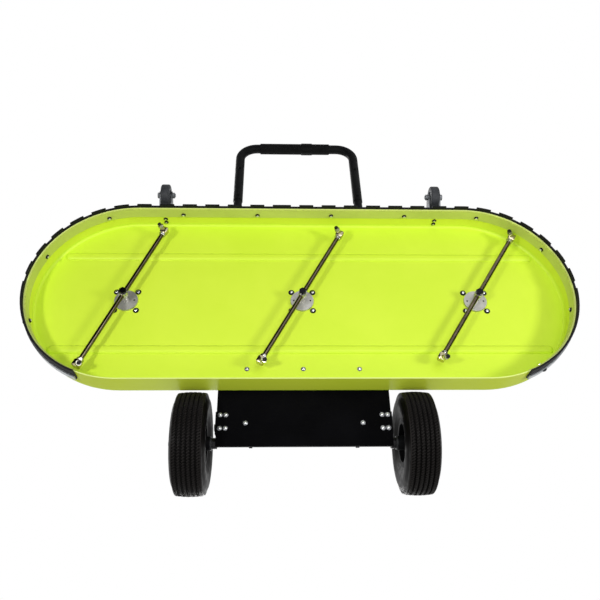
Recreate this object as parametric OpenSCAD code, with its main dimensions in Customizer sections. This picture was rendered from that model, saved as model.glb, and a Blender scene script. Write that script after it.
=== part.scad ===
// Walk-behind flat-surface cleaner: a long steel pan with three spinning spray bars,
// a rubber skirt, two pneumatic front wheels, two small gauge wheels and a tilting handle.
// The part stands on its wheels: +Z up, -Y forward, +Y towards the operator, X along the pan.

/* [Deck] */
// Deck width over the side walls
deck_w = 536; // [530:2:600]
// How far the centre of each end arc sits inside the outer rotor
end_inset = 18; // [0:1:20]
// Depth of the pan from its rim to its ceiling
wall_h = 74; // [70:1:90]
// Sheet thickness
sheet_t = 3; // [2:0.5:4]
// Outside bend radius between the wall and the deck top
bend_r = 11; // [6:1:12]
// Height of the rim above the ground
rim_z = 16; // [14:1:26]
// Distance of each pressed bead from the rotor row
bead_y = 149; // [140:1:160]
// Width of a pressed bead
bead_w = 25; // [18:1:30]
// Depth of a pressed bead
bead_h = 6; // [4:0.5:8]

/* [Skirt] */
// Thickness of the rubber skirt
skirt_t = 5; // [3:0.5:7]
// How far the skirt hangs below the rim
skirt_drop = 11; // [8:0.5:12]
// How far the skirt reaches up the wall
skirt_lap = 34; // [30:1:38]
// Angle that the skirt wraps round each end
skirt_wrap = 158; // [120:1:165]
// Distance between the notches of the skirt's lower edge
notch_pitch = 64; // [50:1:90]
// Least distance from a skirt bolt to the strip's end
skirt_end = 30; // [20:1:45]
// Sideways place of the long tooth where the skirt's two lengths meet
skirt_join_x = 56; // [-100:1:100]
// Length of that tooth
join_tooth = 52; // [40:1:80]
// Length of one notch
notch_w = 24; // [12:1:30]
// Depth of one notch
notch_h = 7; // [4:0.5:7.5]
// Height of the outer clamp strip
strip_h = 18; // [14:1:24]
// Thickness of the outer clamp strip
strip_t = 3; // [2:0.5:4]
// Height of the inner backing band
band_h = 34; // [28:1:36]
// Thickness of the inner backing band
band_t = 2; // [1:0.5:3]
// Distance between the skirt bolts along the wall
skirt_bolt_pitch = 213; // [200:1:240]
// Sideways shift of the row of skirt bolts
skirt_bolt_shift = 19.5; // [0:0.5:30]
// Diameter of a skirt bolt
skirt_bolt_d = 6; // [5:0.5:8]

/* [Rotors] */
// Outside diameter of a spray bar's tube
bar_d = 12.7; // [10:0.1:16]
// Wall of a spray bar's tube
bar_wall = 1.6; // [1:0.1:2.5]
// Room between the circle of the nozzles and the pan's wall
nozzle_room = 34; // [32:1:50]
// Distance between the circles of neighbouring rotors' nozzles
rotor_gap = 18; // [17:0.5:40]
// Depth of the bars below the pan's ceiling
bar_drop = 40; // [36:1:46]
// Length from a bar's axis to the tip of its nozzle
nozzle_len = 29; // [26:0.5:34]
// Sideways tilt of a nozzle, which drives the rotor
nozzle_tilt = 30; // [0:1:40]
// Resting turn of the left bar
left_turn = 23; // [-180:0.5:180]
// Resting turn of the centre bar
centre_turn = 28.5; // [-180:0.5:180]
// Resting turn of the right bar
right_turn = 33; // [-180:0.5:180]
// Diameter of the rotor's shaft
shaft_d = 16; // [12:0.5:20]
// Diameter of the rotor's hub block
hub_d = 22; // [20:1:30]
// Height of the rotor's hub block
hub_h = 18; // [16:1:24]

/* [Swivels] */
// Diameter of the gland under the pan's ceiling
gland_d = 63; // [54:1:68]
// Thickness of the gland
gland_h = 6; // [4:0.5:8]
// Side of the square of swivel bolts
swivel_bolt_square = 58.6; // [56:0.2:64]
// Diameter of a swivel bolt
swivel_bolt_d = 8; // [6:0.5:8]
// Diameter of the swivel body above the deck
swivel_d = 54; // [44:1:58]
// Height of the swivel body above its flange
swivel_h = 28; // [24:1:30]
// Width of the swivel's square flange
flange_w = 82; // [80:1:96]
// Thickness of the swivel's flange
flange_t = 8; // [6:0.5:10]
// Outside diameter of the supply pipe
pipe_d = 17.2; // [13:0.1:20]
// Wall of the supply pipe
pipe_wall = 2.3; // [1.5:0.1:3]
// Outside diameter of the pipe fittings
fitting_d = 28; // [25:1:30]
// Radius of the inlet's tapped hole
inlet_r = 7.5; // [6:0.1:9]
// Depth of the inlet's tapped hole
inlet_depth = 20; // [12:1:24]
// Distance from the rotor row to the inlet's mouth
inlet_reach = 96; // [80:1:140]

/* [Chassis] */
// Width of the chassis plate
plate_w = 436; // [420:2:460]
// Thickness of the chassis plate
plate_t = 6; // [4:0.5:8]
// How far the plate's front edge lies past the axle
plate_lip = 20; // [18:1:40]
// How far the plate reaches over the deck
plate_lap = 83; // [76:1:90]
// Distance from the front wall to the deck bolts
deck_bolt_inset = 62; // [54:1:66]
// Diameter of the chassis bolts
chassis_bolt_d = 6; // [5:0.5:6.5]
// Distance from the plate's side to the middle of a handle bracket
clevis_inset = 16; // [14:1:30]
// Distance from the axle back to the handle's pivot
pivot_setback = 44; // [42:1:60]
// Bolt spacing across a handle bracket
clevis_bolt_dx = 14; // [12:0.5:15]
// Bolt spacing along a handle bracket
clevis_bolt_dy = 35; // [32:1:40]
// Height of the handle's pivot above the plate
pivot_rise = 37; // [34:1:42]
// Diameter of the handle's pivot pins
pin_d = 12; // [10:0.5:13]
// Room for a washer on each side of a handle leg
leg_washer = 1.2; // [1:0.1:4]
// Thickness of bracket sheet
bracket_t = 4; // [3:0.5:5]
// Sideways distance between a handle bracket and its axle hanger
hanger_gap = 56; // [40:1:70]
// Distance from the axle back to a hanger's bolt
hanger_setback = 40; // [36:1:50]
// Axle diameter
axle_d = 16; // [14:0.5:19]

/* [Wheels] */
// Outside diameter of a front tyre
tyre_d = 254; // [250:1:270]
// Width of a front tyre
tyre_w = 86; // [70:1:90]
// Diameter of the rim's bead seat
rim_d = 101.6; // [95:0.2:110]
// Least gap between a front tyre and the deck
tyre_gap = 2; // [1:0.5:10]
// Room between the chassis plate and a front tyre
wheel_gap = 17; // [15:1:40]
// Diameter of a gauge wheel
gauge_d = 64; // [56:1:66]
// Width of a gauge wheel
gauge_w = 25; // [20:1:30]
// Sideways distance of the gauge wheels
gauge_x = 393; // [370:1:420]
// Distance from the rear wall to a gauge wheel's axle
gauge_back = 60; // [56:1:70]
// Diameter of a gauge wheel's axle bolt
gauge_axle_d = 10; // [8:0.5:12]
// Height of a gauge bracket's upper bolt below the pan's ceiling
bracket_bolt_top = 13; // [11:0.5:14]
// Distance between the two bolts of a gauge bracket
bracket_bolt_gap = 15; // [13:0.5:16]

/* [Handle] */
// Slope of the handle at its low stop
handle_slope = 8.5; // [7:0.5:12]
// Outside diameter of the lower legs
leg_d = 28.2; // [27:0.1:28.4]
// Outside diameter of the upper loop's tube
loop_d = 31.8; // [31.6:0.1:34]
// Wall of the handle's tubes
tube_wall = 1.6; // [1.2:0.1:1.6]
// Length of the upper loop, from its cross bar to its lower ends
loop_leg = 288; // [250:2:330]
// Distance from the upper loop's lower end to its first bolt
splice_first = 19; // [15:1:30]
// Distance between the two bolts of a splice
splice_gap = 140; // [100:1:150]
// Distance along the handle from the pivot to the cross bar
handle_len = 1150; // [1130:2:1250]
// Bend radius of the upper loop
loop_bend_r = 60; // [50:1:70]
// Diameter of the foam grip
grip_d = 38; // [34:1:44]
// Length of the foam grip
grip_len = 250; // [200:1:260]
// Sideways place of the grip's middle
grip_x = 7; // [-20:1:20]
// Width of the band round the grip
grip_band_w = 38; // [20:1:45]
// Thickness of the band round the grip
grip_band_t = 2; // [1:0.5:4]
// Sideways place of the band's middle
grip_band_x = -36; // [-100:1:100]
// Diameter of the splice bolts
splice_bolt_d = 6; // [5:0.5:8]

/* [Hidden] */
$fn = 64;
eps = 0.01;
// Clearances: layers laid together, bolts in their holes, shafts that turn
lay_gap = 0.1;
bolt_gap = 0.2;
// How far a cut runs past the piece that it opens
over = 40;
run_gap = 0.05;
side_gap = 0.5;

// Deck levels and outline
ceiling_z = rim_z + wall_h;
deck_z = ceiling_z + sheet_t;
seam_z = deck_z - bend_r - 1;
wall_r = deck_w / 2;
inner_r = wall_r - sheet_t;
nozzle_reach = inner_r - nozzle_room;
hub_pitch = 2 * nozzle_reach + rotor_gap;
end_x = hub_pitch - end_inset;
bead_end_x = end_x + sqrt(pow(inner_r - bend_r + sheet_t, 2) - pow(bead_y + bead_w / 2, 2)) - bead_w / 4;

// Skirt layers, from the wall outwards, and the skirt bolts' level
skirt_in = wall_r + lay_gap;
strip_in = skirt_in + skirt_t + lay_gap;
strip_out = strip_in + strip_t;
skirt_top = rim_z + skirt_lap;
strip_mid = skirt_top - strip_h / 2 - 1;
band_out = inner_r - lay_gap;
band_in = band_out - band_t;
wrap_len = wall_r * skirt_wrap * PI / 180;
skirt_bolt_count = ceil((end_x + wrap_len) / skirt_bolt_pitch);
skirt_bolt_hole_r = skirt_bolt_d / 2 + bolt_gap;
notch_reach = end_x + wall_r * PI / 2;
notch_first = join_tooth / 2 + notch_w / 2;
notch_count = floor((notch_reach + abs(skirt_join_x)) / notch_pitch);
notch_places = [for (s = [1, -1], i = [0 : notch_count])
  if (abs(skirt_join_x + s * (notch_first + i * notch_pitch)) < notch_reach)
    skirt_join_x + s * (notch_first + i * notch_pitch)];

// Rotors, swivels and supply pipe
rotor_x = [hub_pitch, 0, -hub_pitch];
rotor_turn = [left_turn, centre_turn, right_turn];
bar_z = ceiling_z - bar_drop;
elbow_d = bar_d + 3.3;
bar_seat = 3;
gland_top = ceiling_z - lay_gap;
flange_z = deck_z + flange_t;
swivel_top = flange_z + swivel_h;
pipe_z = swivel_top + fitting_d / 2 + 1;
pipe_seat = 12;
fitting_half = fitting_d / 2 + 6;

// Chassis levels, and places measured forward from the rotor row
axle_z = tyre_d / 2;
axle_y = wall_r + tyre_gap + sqrt(pow(tyre_d / 2, 2) - pow(axle_z - deck_z, 2));
plate_z = deck_z;
plate_top = plate_z + plate_t;
plate_front = axle_y + plate_lip;
plate_back = wall_r - plate_lap;
clevis_x = plate_w / 2 - clevis_inset;
hanger_x = clevis_x - hanger_gap;
deck_bolt_x = hanger_x;
deck_bolt_y = wall_r - deck_bolt_inset;
clevis_y = axle_y - pivot_setback;
hanger_bolt_y = axle_y - hanger_setback;
bolt_hole_r = chassis_bolt_d / 2 + bolt_gap;
pivot_z = plate_top + pivot_rise;
ear_gap = leg_d + 2 * leg_washer;
clevis_end = 11;
clevis_len = clevis_bolt_dy + 2 * clevis_end;
ear_r = pin_d / 2 + 8;
hanger_eye_r = axle_d / 2 + 4;

// Front wheels
wheel_x = plate_w / 2 + wheel_gap + tyre_w / 2;
rim_flange_r = rim_d / 2 + 9;
barrel_half = tyre_w / 2 + 2;
bush_flange = 4;
bush_len = 16;
bush_r = axle_d / 2 + 5;
wheel_half = barrel_half + bush_flange;
collar_w = 12;
nut_w = 14;
axle_half = wheel_x + wheel_half + side_gap + nut_w + 4;

// Gauge wheels
gauge_y = wall_r + gauge_back;
gauge_z = gauge_d / 2;
cheek_in = gauge_w / 2 + 1.5;
cheek_r = gauge_axle_d / 2 + 7;
bracket_bolt_z = [ceiling_z - bracket_bolt_top, ceiling_z - bracket_bolt_top - bracket_bolt_gap];
bracket_low = bracket_bolt_z[1] - 7;
bracket_high = ceiling_z - 1;

// Handle
loop_y = handle_len;
splice_start = handle_len - loop_leg;
splice_bolts = [splice_start + splice_first, splice_start + splice_first + splice_gap];
leg_len = splice_bolts[1] + 20;
sleeve_gap = (loop_d - 2 * tube_wall - leg_d) / 2;

// Middle of the whole part along Y, so that the origin lies under its centre
back_y = -clevis_y + handle_len * cos(handle_slope) + max(grip_d / 2 + grip_band_t + lay_gap, loop_d / 2);
front_y = -axle_y - tyre_d / 2;
mid_y = (back_y + front_y) / 2;

paint = "#d3ec3f";
rubber = "#1b1b1c";
black_steel = "#232426";
zinc = "#c3c6c8";
stainless = "#d9dcde";
brass = "#b9a36a";

// Shared shapes

// Moves a piece drawn about the rotor row to its place above the origin
module placed() {
  translate([0, -mid_y, 0]) children();
}

// Points of an arc from one angle to another
function arc(cx, cy, r, from, to, steps) =
  [for (i = [0 : steps]) [cx + r * cos(from + (to - from) * i / steps), cy + r * sin(from + (to - from) * i / steps)]];

// The same outline on the other side of its middle line, in reverse order
function mirrored(points) = [for (i = [len(points) - 1 : -1 : 0]) [points[i][0], -points[i][1]]];

// Sweeps a profile of radius and height round one end and along one half of the pan
module pan_sweep(half_len, wrap) {
  for (s = [0, 1])
    mirror([s, 0, 0]) translate([-half_len, 0, 0]) rotate([0, 0, 90])
      rotate_extrude(angle = wrap, $fn = 128) children();
  translate([-half_len, 0, 0])
    rotate([90, 0, 90])
      linear_extrude(2 * half_len) children();
}

// A hexagon bolt along +Z: head below its seat at z = 0, shank above, nut at its far end
module hex_bolt(d, grip, head_h, nut_h, stub) {
  head_d = d * 1.9;
  translate([0, 0, -head_h]) cylinder(d = head_d, h = head_h, $fn = 6);
  translate([0, 0, -eps]) cylinder(d = d, h = grip + nut_h + stub + eps);
  translate([0, 0, grip]) cylinder(d = head_d, h = nut_h, $fn = 6);
}

// Places children on the wall: distance along the wall from the middle, towards +X
module on_wall(along, r, z) {
  side = along < 0 ? -1 : 1;
  run = abs(along) - end_x;
  turn = run <= 0 ? 0 : run / wall_r * 180 / PI;
  x = run <= 0 ? along : side * end_x;
  translate([x, 0, z]) rotate([0, 0, -side * turn]) translate([0, r, 0]) children();
}

// Centres of the skirt bolts, along the wall
skirt_bolt_places = [for (i = [-skirt_bolt_count - 1 : skirt_bolt_count])
  if (abs((i + 0.5) * skirt_bolt_pitch + skirt_bolt_shift) < end_x + wrap_len - skirt_end)
    (i + 0.5) * skirt_bolt_pitch + skirt_bolt_shift];

module skirt_bolt_holes() {
  for (a = skirt_bolt_places)
    on_wall(a, 0, strip_mid)
      translate([0, band_in - 10, 0]) rotate([-90, 0, 0]) cylinder(r = skirt_bolt_hole_r, h = strip_out - band_in + 20);
}

module gauge_bolt_holes() {
  for (s = [1, -1], z = bracket_bolt_z)
    translate([s * gauge_x, wall_r - over / 2, z]) rotate([-90, 0, 0]) cylinder(r = bolt_hole_r, h = over);
}

module swivel_bolt_places() {
  for (x = rotor_x, i = [1, -1], j = [1, -1])
    translate([x + i * swivel_bolt_square / 2, j * swivel_bolt_square / 2, 0]) children();
}

module deck_bolt_places() {
  for (i = [-1, 0, 1])
    translate([i * deck_bolt_x, -deck_bolt_y, 0]) children();
}

module clevis_bolt_places(side) {
  for (i = [1, -1], j = [1, -1])
    translate([side * clevis_x + i * clevis_bolt_dx / 2, -clevis_y + j * clevis_bolt_dy / 2, 0]) children();
}

module hanger_bolt_place(side) {
  translate([side * hanger_x, -hanger_bolt_y, 0]) children();
}

// Deck and skirt

// Half section of the pan's top: flat sheet with its edge bent down
module top_section() {
  inner_bend = max(bend_r - sheet_t, 1);
  polygon(concat(
    [[0, ceiling_z], [0, deck_z]],
    arc(wall_r - bend_r, deck_z - bend_r, bend_r, 90, 0, 6),
    [[wall_r, seam_z], [inner_r, seam_z]],
    arc(inner_r - inner_bend, ceiling_z - inner_bend, inner_bend, 0, 90, 6)
  ));
}

// Carries a section of radius and height all round the pan
module all_round() {
  pan_sweep(end_x, 180) children();
  mirror([0, 1, 0]) translate([-end_x, 0, 0]) rotate([90, 0, 90]) linear_extrude(2 * end_x) children();
}

// Half section of a pressed bead, and of the hollow above it
module bead_section(r, depth) {
  polygon([[0, 0], [r, 0], [r * 0.86, -depth * 0.45], [r * 0.6, -depth * 0.85], [r * 0.3, -depth], [0, -depth]]);
}

module bead(r, depth) {
  for (s = [1, -1])
    translate([s * bead_end_x, 0, 0]) rotate([0, 0, s > 0 ? -90 : 90])
      rotate_extrude(angle = 180) bead_section(r, depth);
  for (s = [0, 1])
    mirror([0, s, 0]) translate([-bead_end_x, 0, 0]) rotate([90, 0, 90])
      linear_extrude(2 * bead_end_x) bead_section(r, depth);
}

module deck_top() {
  color(paint) placed() difference() {
    union() {
      all_round() top_section();
      for (s = [1, -1]) translate([0, s * bead_y, ceiling_z]) bead(bead_w / 2, bead_h);
    }
    for (s = [1, -1]) translate([0, s * bead_y, deck_z]) bead(bead_w / 2 - sheet_t * 0.7, bead_h);
    for (x = rotor_x) translate([x, 0, ceiling_z - eps]) cylinder(r = shaft_d / 2 + 7, h = sheet_t + 2 * eps);
    swivel_bolt_places() translate([0, 0, ceiling_z - 1]) cylinder(r = swivel_bolt_d / 2 + bolt_gap, h = sheet_t + 2);
    deck_bolt_places() translate([0, 0, ceiling_z - 1]) cylinder(r = bolt_hole_r, h = sheet_t + 2);
    gauge_bolt_holes();
  }
}

// Rolled wall, welded under the bent edge of the top
module deck_wall() {
  color(paint) placed() difference() {
    all_round() translate([inner_r, rim_z]) square([sheet_t, seam_z - rim_z]);
    skirt_bolt_holes();
    gauge_bolt_holes();
  }
}

module skirt_rubber() {
  color(rubber) placed() difference() {
    pan_sweep(end_x, skirt_wrap)
      translate([skirt_in, rim_z - skirt_drop]) square([skirt_t, skirt_lap + skirt_drop]);
    for (a = notch_places)
      on_wall(a, skirt_in + skirt_t / 2, rim_z - skirt_drop)
        cube([notch_w, 2 * skirt_t + 4, 2 * notch_h], center = true);
    skirt_bolt_holes();
  }
}

module skirt_strip() {
  color(zinc) placed() difference() {
    pan_sweep(end_x, skirt_wrap) translate([strip_in, strip_mid - strip_h / 2]) square([strip_t, strip_h]);
    skirt_bolt_holes();
  }
}

module skirt_band() {
  color(paint) placed() difference() {
    pan_sweep(end_x, skirt_wrap) translate([band_in, rim_z + 1]) square([band_t, band_h]);
    skirt_bolt_holes();
  }
}

module skirt_bolts() {
  seat_in = 0.15;
  color(zinc) placed()
    for (a = skirt_bolt_places)
      on_wall(a, strip_out + seat_in, strip_mid)
        rotate([90, 0, 0]) hex_bolt(skirt_bolt_d, strip_out - band_in + 2 * seat_in, 3.5, 4, 2);
}

// Swivels and supply

module swivel(i) {
  color(black_steel) placed() translate([rotor_x[i], 0, 0]) difference() {
    union() {
      translate([-flange_w / 2, -flange_w / 2, deck_z]) cube([flange_w, flange_w, flange_t]);
      translate([0, 0, flange_z - eps]) cylinder(d = swivel_d, h = swivel_h * 0.7 + eps);
      translate([0, 0, flange_z + swivel_h * 0.7 - eps]) cylinder(d = swivel_d * 0.72, h = swivel_h * 0.3 + eps);
    }
    translate([0, 0, deck_z - 1]) cylinder(r = shaft_d / 2 + run_gap, h = flange_t + swivel_h * 0.6 + 1);
    translate([0, 0, deck_z - 1]) cylinder(r = 5, h = flange_t + swivel_h + 2);
    for (a = [1, -1], b = [1, -1])
      translate([a * swivel_bolt_square / 2, b * swivel_bolt_square / 2, deck_z - 1])
        cylinder(r = swivel_bolt_d / 2 + bolt_gap, h = flange_t + 2);
  }
}

module gland(i) {
  color("#9ea2a4") placed() translate([rotor_x[i], 0, 0]) difference() {
    union() {
      translate([0, 0, gland_top - gland_h]) cylinder(d = gland_d, h = gland_h);
      translate([0, 0, gland_top - eps]) cylinder(r = shaft_d / 2 + 6.5, h = sheet_t + eps);
    }
    translate([0, 0, gland_top - gland_h - 1]) cylinder(r = shaft_d / 2 + run_gap, h = gland_h + sheet_t + 2);
    for (s = [1, -1])
      translate([s * gland_d * 0.36, 0, gland_top - gland_h - 1]) cylinder(d = 5, h = gland_h * 0.5 + 1);
  }
}

module swivel_bolts() {
  color(zinc) placed()
    swivel_bolt_places() translate([0, 0, ceiling_z])
      hex_bolt(swivel_bolt_d, sheet_t + flange_t, 4.5, 6, 1.5);
}

// A pipe between two fittings along X
module pipe_x(from, to) {
  translate([from, 0, pipe_z]) rotate([0, 90, 0]) difference() {
    cylinder(d = pipe_d, h = to - from);
    translate([0, 0, -1]) cylinder(d = pipe_d - 2 * pipe_wall, h = to - from + 2);
  }
}

module supply_pipes() {
  color(zinc) placed() for (s = [0, 1]) mirror([s, 0, 0])
    pipe_x(fitting_half - pipe_seat, hub_pitch - fitting_half + pipe_seat);
}

// A pipe fitting over one swivel: a body with sockets towards the given sides
module fitting(sides, back) {
  socket_r = pipe_d / 2 + lay_gap;
  difference() {
    union() {
      sphere(d = fitting_d);
      translate([0, 0, swivel_top - pipe_z]) cylinder(d = fitting_d - 4, h = pipe_z - swivel_top);
      for (s = sides) rotate([0, s * 90, 0]) cylinder(d = fitting_d - 2, h = fitting_half);
      if (back) rotate([-90, 0, 0]) cylinder(d = fitting_d - 2, h = fitting_half);
    }
    translate([0, 0, swivel_top - pipe_z - 1]) cylinder(r = 5, h = pipe_z - swivel_top + 1);
    for (s = sides) rotate([0, s * 90, 0]) {
      cylinder(r = 5, h = fitting_half + 1);
      translate([0, 0, fitting_half - pipe_seat]) cylinder(r = socket_r, h = pipe_seat + 1);
    }
    if (back) rotate([-90, 0, 0]) {
      cylinder(r = 5, h = fitting_half + 1);
      translate([0, 0, fitting_half - pipe_seat]) cylinder(r = socket_r, h = pipe_seat + 1);
    }
  }
}

module supply_tee() {
  color(brass) placed() translate([0, 0, pipe_z]) fitting([1, -1], true);
}

module supply_elbows() {
  color(brass) placed() for (s = [1, -1])
    translate([s * hub_pitch, 0, pipe_z]) fitting([-s], false);
}

module supply_inlet() {
  neck_start = fitting_half - pipe_seat;
  neck_end = inlet_reach - inlet_depth - 6;
  color(brass) placed() translate([0, 0, pipe_z]) rotate([-90, 0, 0]) difference() {
    union() {
      translate([0, 0, neck_start]) cylinder(d = pipe_d, h = neck_end - neck_start + 1);
      translate([0, 0, neck_end]) cylinder(d = fitting_d, h = inlet_reach - neck_end);
      translate([0, 0, neck_end]) cylinder(d = fitting_d + 4, h = 12, $fn = 6);
    }
    translate([0, 0, neck_start - 1]) cylinder(r = 5, h = inlet_reach);
    translate([0, 0, inlet_reach - inlet_depth]) cylinder(r = inlet_r, h = inlet_depth + 1);
  }
}

// Chassis

module chassis_plate() {
  corner = 3;
  plate_len = plate_front - plate_back;
  color(black_steel) placed() difference() {
    translate([0, -plate_front, plate_z]) linear_extrude(plate_t) difference() {
      translate([-plate_w / 2, 0]) square([plate_w, plate_len]);
      for (s = [1, -1]) translate([s * plate_w / 2, 0]) rotate(45) square(corner * sqrt(2), center = true);
    }
    deck_bolt_places() translate([0, 0, plate_z - 1]) cylinder(r = bolt_hole_r, h = plate_t + 2);
    for (s = [1, -1]) {
      clevis_bolt_places(s) translate([0, 0, plate_z - 1]) cylinder(r = bolt_hole_r, h = plate_t + 2);
      hanger_bolt_place(s) translate([0, 0, plate_z - 1]) cylinder(r = bolt_hole_r, h = plate_t + 2);
    }
  }
}

module chassis_bolts() {
  head_h = 4;
  nut_h = 5;
  color(zinc) placed() {
    deck_bolt_places() translate([0, 0, ceiling_z])
      hex_bolt(chassis_bolt_d, sheet_t + plate_t, head_h, nut_h, 1);
    for (s = [1, -1]) {
      clevis_bolt_places(s) translate([0, 0, plate_z])
        hex_bolt(chassis_bolt_d, plate_t + bracket_t, head_h, nut_h, 1);
      hanger_bolt_place(s) translate([0, 0, plate_z])
        hex_bolt(chassis_bolt_d, plate_t + bracket_t, head_h, nut_h, 1);
    }
  }
}

// Bracket of one handle leg: a base, two ears and a stop web under the leg
module clevis(side) {
  ear_z = pivot_z - plate_top;
  half = ear_gap / 2 + bracket_t;
  stop_y = clevis_len / 2 - bracket_t;
  stop_z = ear_z + stop_y * tan(handle_slope) - leg_d / 2 / cos(handle_slope) - 0.3;
  color(black_steel) placed() translate([side * clevis_x, -clevis_y, plate_top]) difference() {
    union() {
      translate([-half, -clevis_len / 2, 0]) cube([2 * half, clevis_len, bracket_t]);
      for (s = [1, -1])
        translate([s > 0 ? ear_gap / 2 : -half, 0, 0]) rotate([90, 0, 90]) linear_extrude(bracket_t) {
          polygon([[-clevis_len / 2, 0], [clevis_len / 2, 0], [clevis_len / 2, 14], [ear_r, ear_z],
            [-ear_r, ear_z], [-clevis_len / 2, 14]]);
          translate([0, ear_z]) circle(r = ear_r);
        }
      translate([-half, stop_y, 0]) cube([2 * half, bracket_t, 14]);
      translate([-ear_gap / 2 - eps, stop_y, 0]) cube([ear_gap + 2 * eps, bracket_t, stop_z]);
    }
    translate([-half - 1, 0, ear_z]) rotate([0, 90, 0]) cylinder(r = pin_d / 2 + run_gap, h = 2 * half + 2);
    translate([-side * clevis_x, clevis_y, -plate_top])
      clevis_bolt_places(side) translate([0, 0, plate_top - 1]) cylinder(r = bolt_hole_r, h = bracket_t + 2);
  }
}

module handle_pins() {
  half = ear_gap / 2 + bracket_t;
  color(zinc) placed() for (s = [1, -1])
    translate([s * clevis_x, -clevis_y, pivot_z]) rotate([0, s * 90, 0]) {
      translate([0, 0, -half - 3]) cylinder(d = pin_d, h = 2 * half + 6);
      for (t = [0, 1]) mirror([0, 0, t])
        translate([0, 0, leg_d / 2 + 0.3]) cylinder(d = pin_d + 8, h = leg_washer - 0.3 - lay_gap);
      translate([0, 0, half + lay_gap]) cylinder(d = pin_d * 1.6, h = 5, $fn = 6);
      translate([0, 0, -half - lay_gap - 5]) cylinder(d = pin_d * 1.6, h = 5, $fn = 6);
    }
}

// Bracket that carries the axle: a foot on the plate and an upright with an eye
module hanger(side) {
  foot_half = 17;
  eye_z = axle_z - plate_top;
  eye_y = hanger_bolt_y - axle_y;
  upright_x = -foot_half;
  color(black_steel) placed() translate([side * hanger_x, -hanger_bolt_y, plate_top]) difference() {
    union() {
      translate([-foot_half, -foot_half, 0]) cube([2 * foot_half, 2 * foot_half, bracket_t]);
      mirror([side > 0 ? 0 : 1, 0, 0]) translate([upright_x, 0, 0]) rotate([90, 0, 90])
        linear_extrude(bracket_t * 2) {
          polygon([[foot_half, 0], [foot_half, bracket_t + 4], [eye_y + hanger_eye_r * 0.7, eye_z + hanger_eye_r * 0.7],
            [eye_y - hanger_eye_r, eye_z], [eye_y - hanger_eye_r * 0.5, 0]]);
          translate([eye_y, eye_z]) circle(r = hanger_eye_r);
        }
    }
    translate([-foot_half - 1, eye_y, eye_z]) rotate([0, 90, 0]) cylinder(r = axle_d / 2 + run_gap, h = 2 * foot_half + 2);
    translate([0, 0, -1]) cylinder(r = bolt_hole_r, h = bracket_t + 2);
  }
}

module on_axle(x) {
  translate([x, -axle_y, axle_z]) rotate([0, 90, 0]) children();
}

module axle() {
  color(zinc) placed() on_axle(-axle_half) cylinder(d = axle_d, h = 2 * axle_half);
}

module axle_collars() {
  color(zinc) placed() for (s = [0, 1]) mirror([s, 0, 0])
    on_axle(wheel_x - wheel_half - side_gap - collar_w) difference() {
      cylinder(d = axle_d + 12, h = collar_w);
      translate([0, 0, -1]) cylinder(r = axle_d / 2 + run_gap, h = collar_w + 2);
    }
}

module axle_nuts() {
  color(zinc) placed() for (s = [0, 1]) mirror([s, 0, 0])
    on_axle(wheel_x + wheel_half + side_gap) difference() {
      union() {
        cylinder(d = axle_d + 16, h = 2.5);
        translate([0, 0, 2.5 - eps]) cylinder(d = axle_d * 1.75, h = nut_w - 2.5, $fn = 6);
      }
      translate([0, 0, -1]) cylinder(r = axle_d / 2 + run_gap, h = nut_w + 2);
    }
}

// Front wheels, drawn about the Z axis and laid on the axle

// Half width of the tyre's sidewall at a share t of the way from the rim's flange to the shoulder
function sidewall(t) = tyre_w / 2 - 13 + 13 * sin(150 * t);

module tyre_shape() {
  seat = rim_d / 2 + 0.3;
  crown = tyre_d / 2;
  shoulder = crown - 9;
  cover = 8;
  steps = 8;
  edge = sidewall(1) - 3;
  groove_w = 4.5;
  groove_h = 5;
  groove_pitch = 2 * edge / 5;
  root = rim_flange_r + 0.5;
  side = [for (i = [steps : -1 : 0]) [root + (shoulder - root) * i / steps, sidewall(i / steps)]];
  inside = [for (i = [0 : steps]) [root + (shoulder - cover - root) * i / steps, sidewall(i / steps) - cover]];
  half = concat([[crown, edge * 0.6], [crown - 2.5, edge]], side,
    [[seat, sidewall(0)], [seat, sidewall(0) - cover]], inside, [[crown - 12, edge * 0.5]]);
  rotate_extrude($fn = 96) difference() {
    polygon(concat(half, mirrored(half)));
    for (i = [-1.5 : 1.5])
      translate([crown - groove_h, i * groove_pitch - groove_w / 2]) square([groove_h + 1, groove_w]);
  }
}

// Section of the pressed steel rim: barrel, web, well and flanges
module rim_shape() {
  seat = rim_d / 2;
  well = seat - 10;
  sheet = 3;
  bead_half = tyre_w / 2 - 13 + 0.3;
  well_half = bead_half * 0.45;
  ramp_half = bead_half * 0.6;
  barrel_in = bush_r + lay_gap;
  barrel_out = bush_r + 5;
  half = [
    [well, well_half], [seat, ramp_half], [seat, bead_half], [rim_flange_r, bead_half],
    [rim_flange_r, bead_half + sheet], [seat - sheet, bead_half + sheet], [seat - sheet, ramp_half],
    [well - sheet, well_half], [well - sheet, sheet], [barrel_out, sheet],
    [barrel_out, barrel_half], [barrel_in, barrel_half]
  ];
  rotate_extrude($fn = 96) polygon(concat(half, mirrored(half)));
}

module bushes_shape() {
  for (s = [0, 1]) mirror([0, 0, s]) difference() {
    union() {
      translate([0, 0, barrel_half - bush_len]) cylinder(r = bush_r, h = bush_len + bush_flange);
      translate([0, 0, barrel_half + lay_gap]) cylinder(r = bush_r + 4, h = bush_flange - lay_gap);
    }
    translate([0, 0, barrel_half - bush_len - 1]) cylinder(r = axle_d / 2 + run_gap, h = bush_len + bush_flange + 2);
  }
}

module tyre(side) {
  color(rubber) placed() on_axle(side * wheel_x) tyre_shape();
}

module rim(side) {
  color(black_steel) placed() on_axle(side * wheel_x) rim_shape();
}

module bushes(side) {
  color("#8d8f90") placed() on_axle(side * wheel_x) bushes_shape();
}

// Gauge wheels

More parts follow.
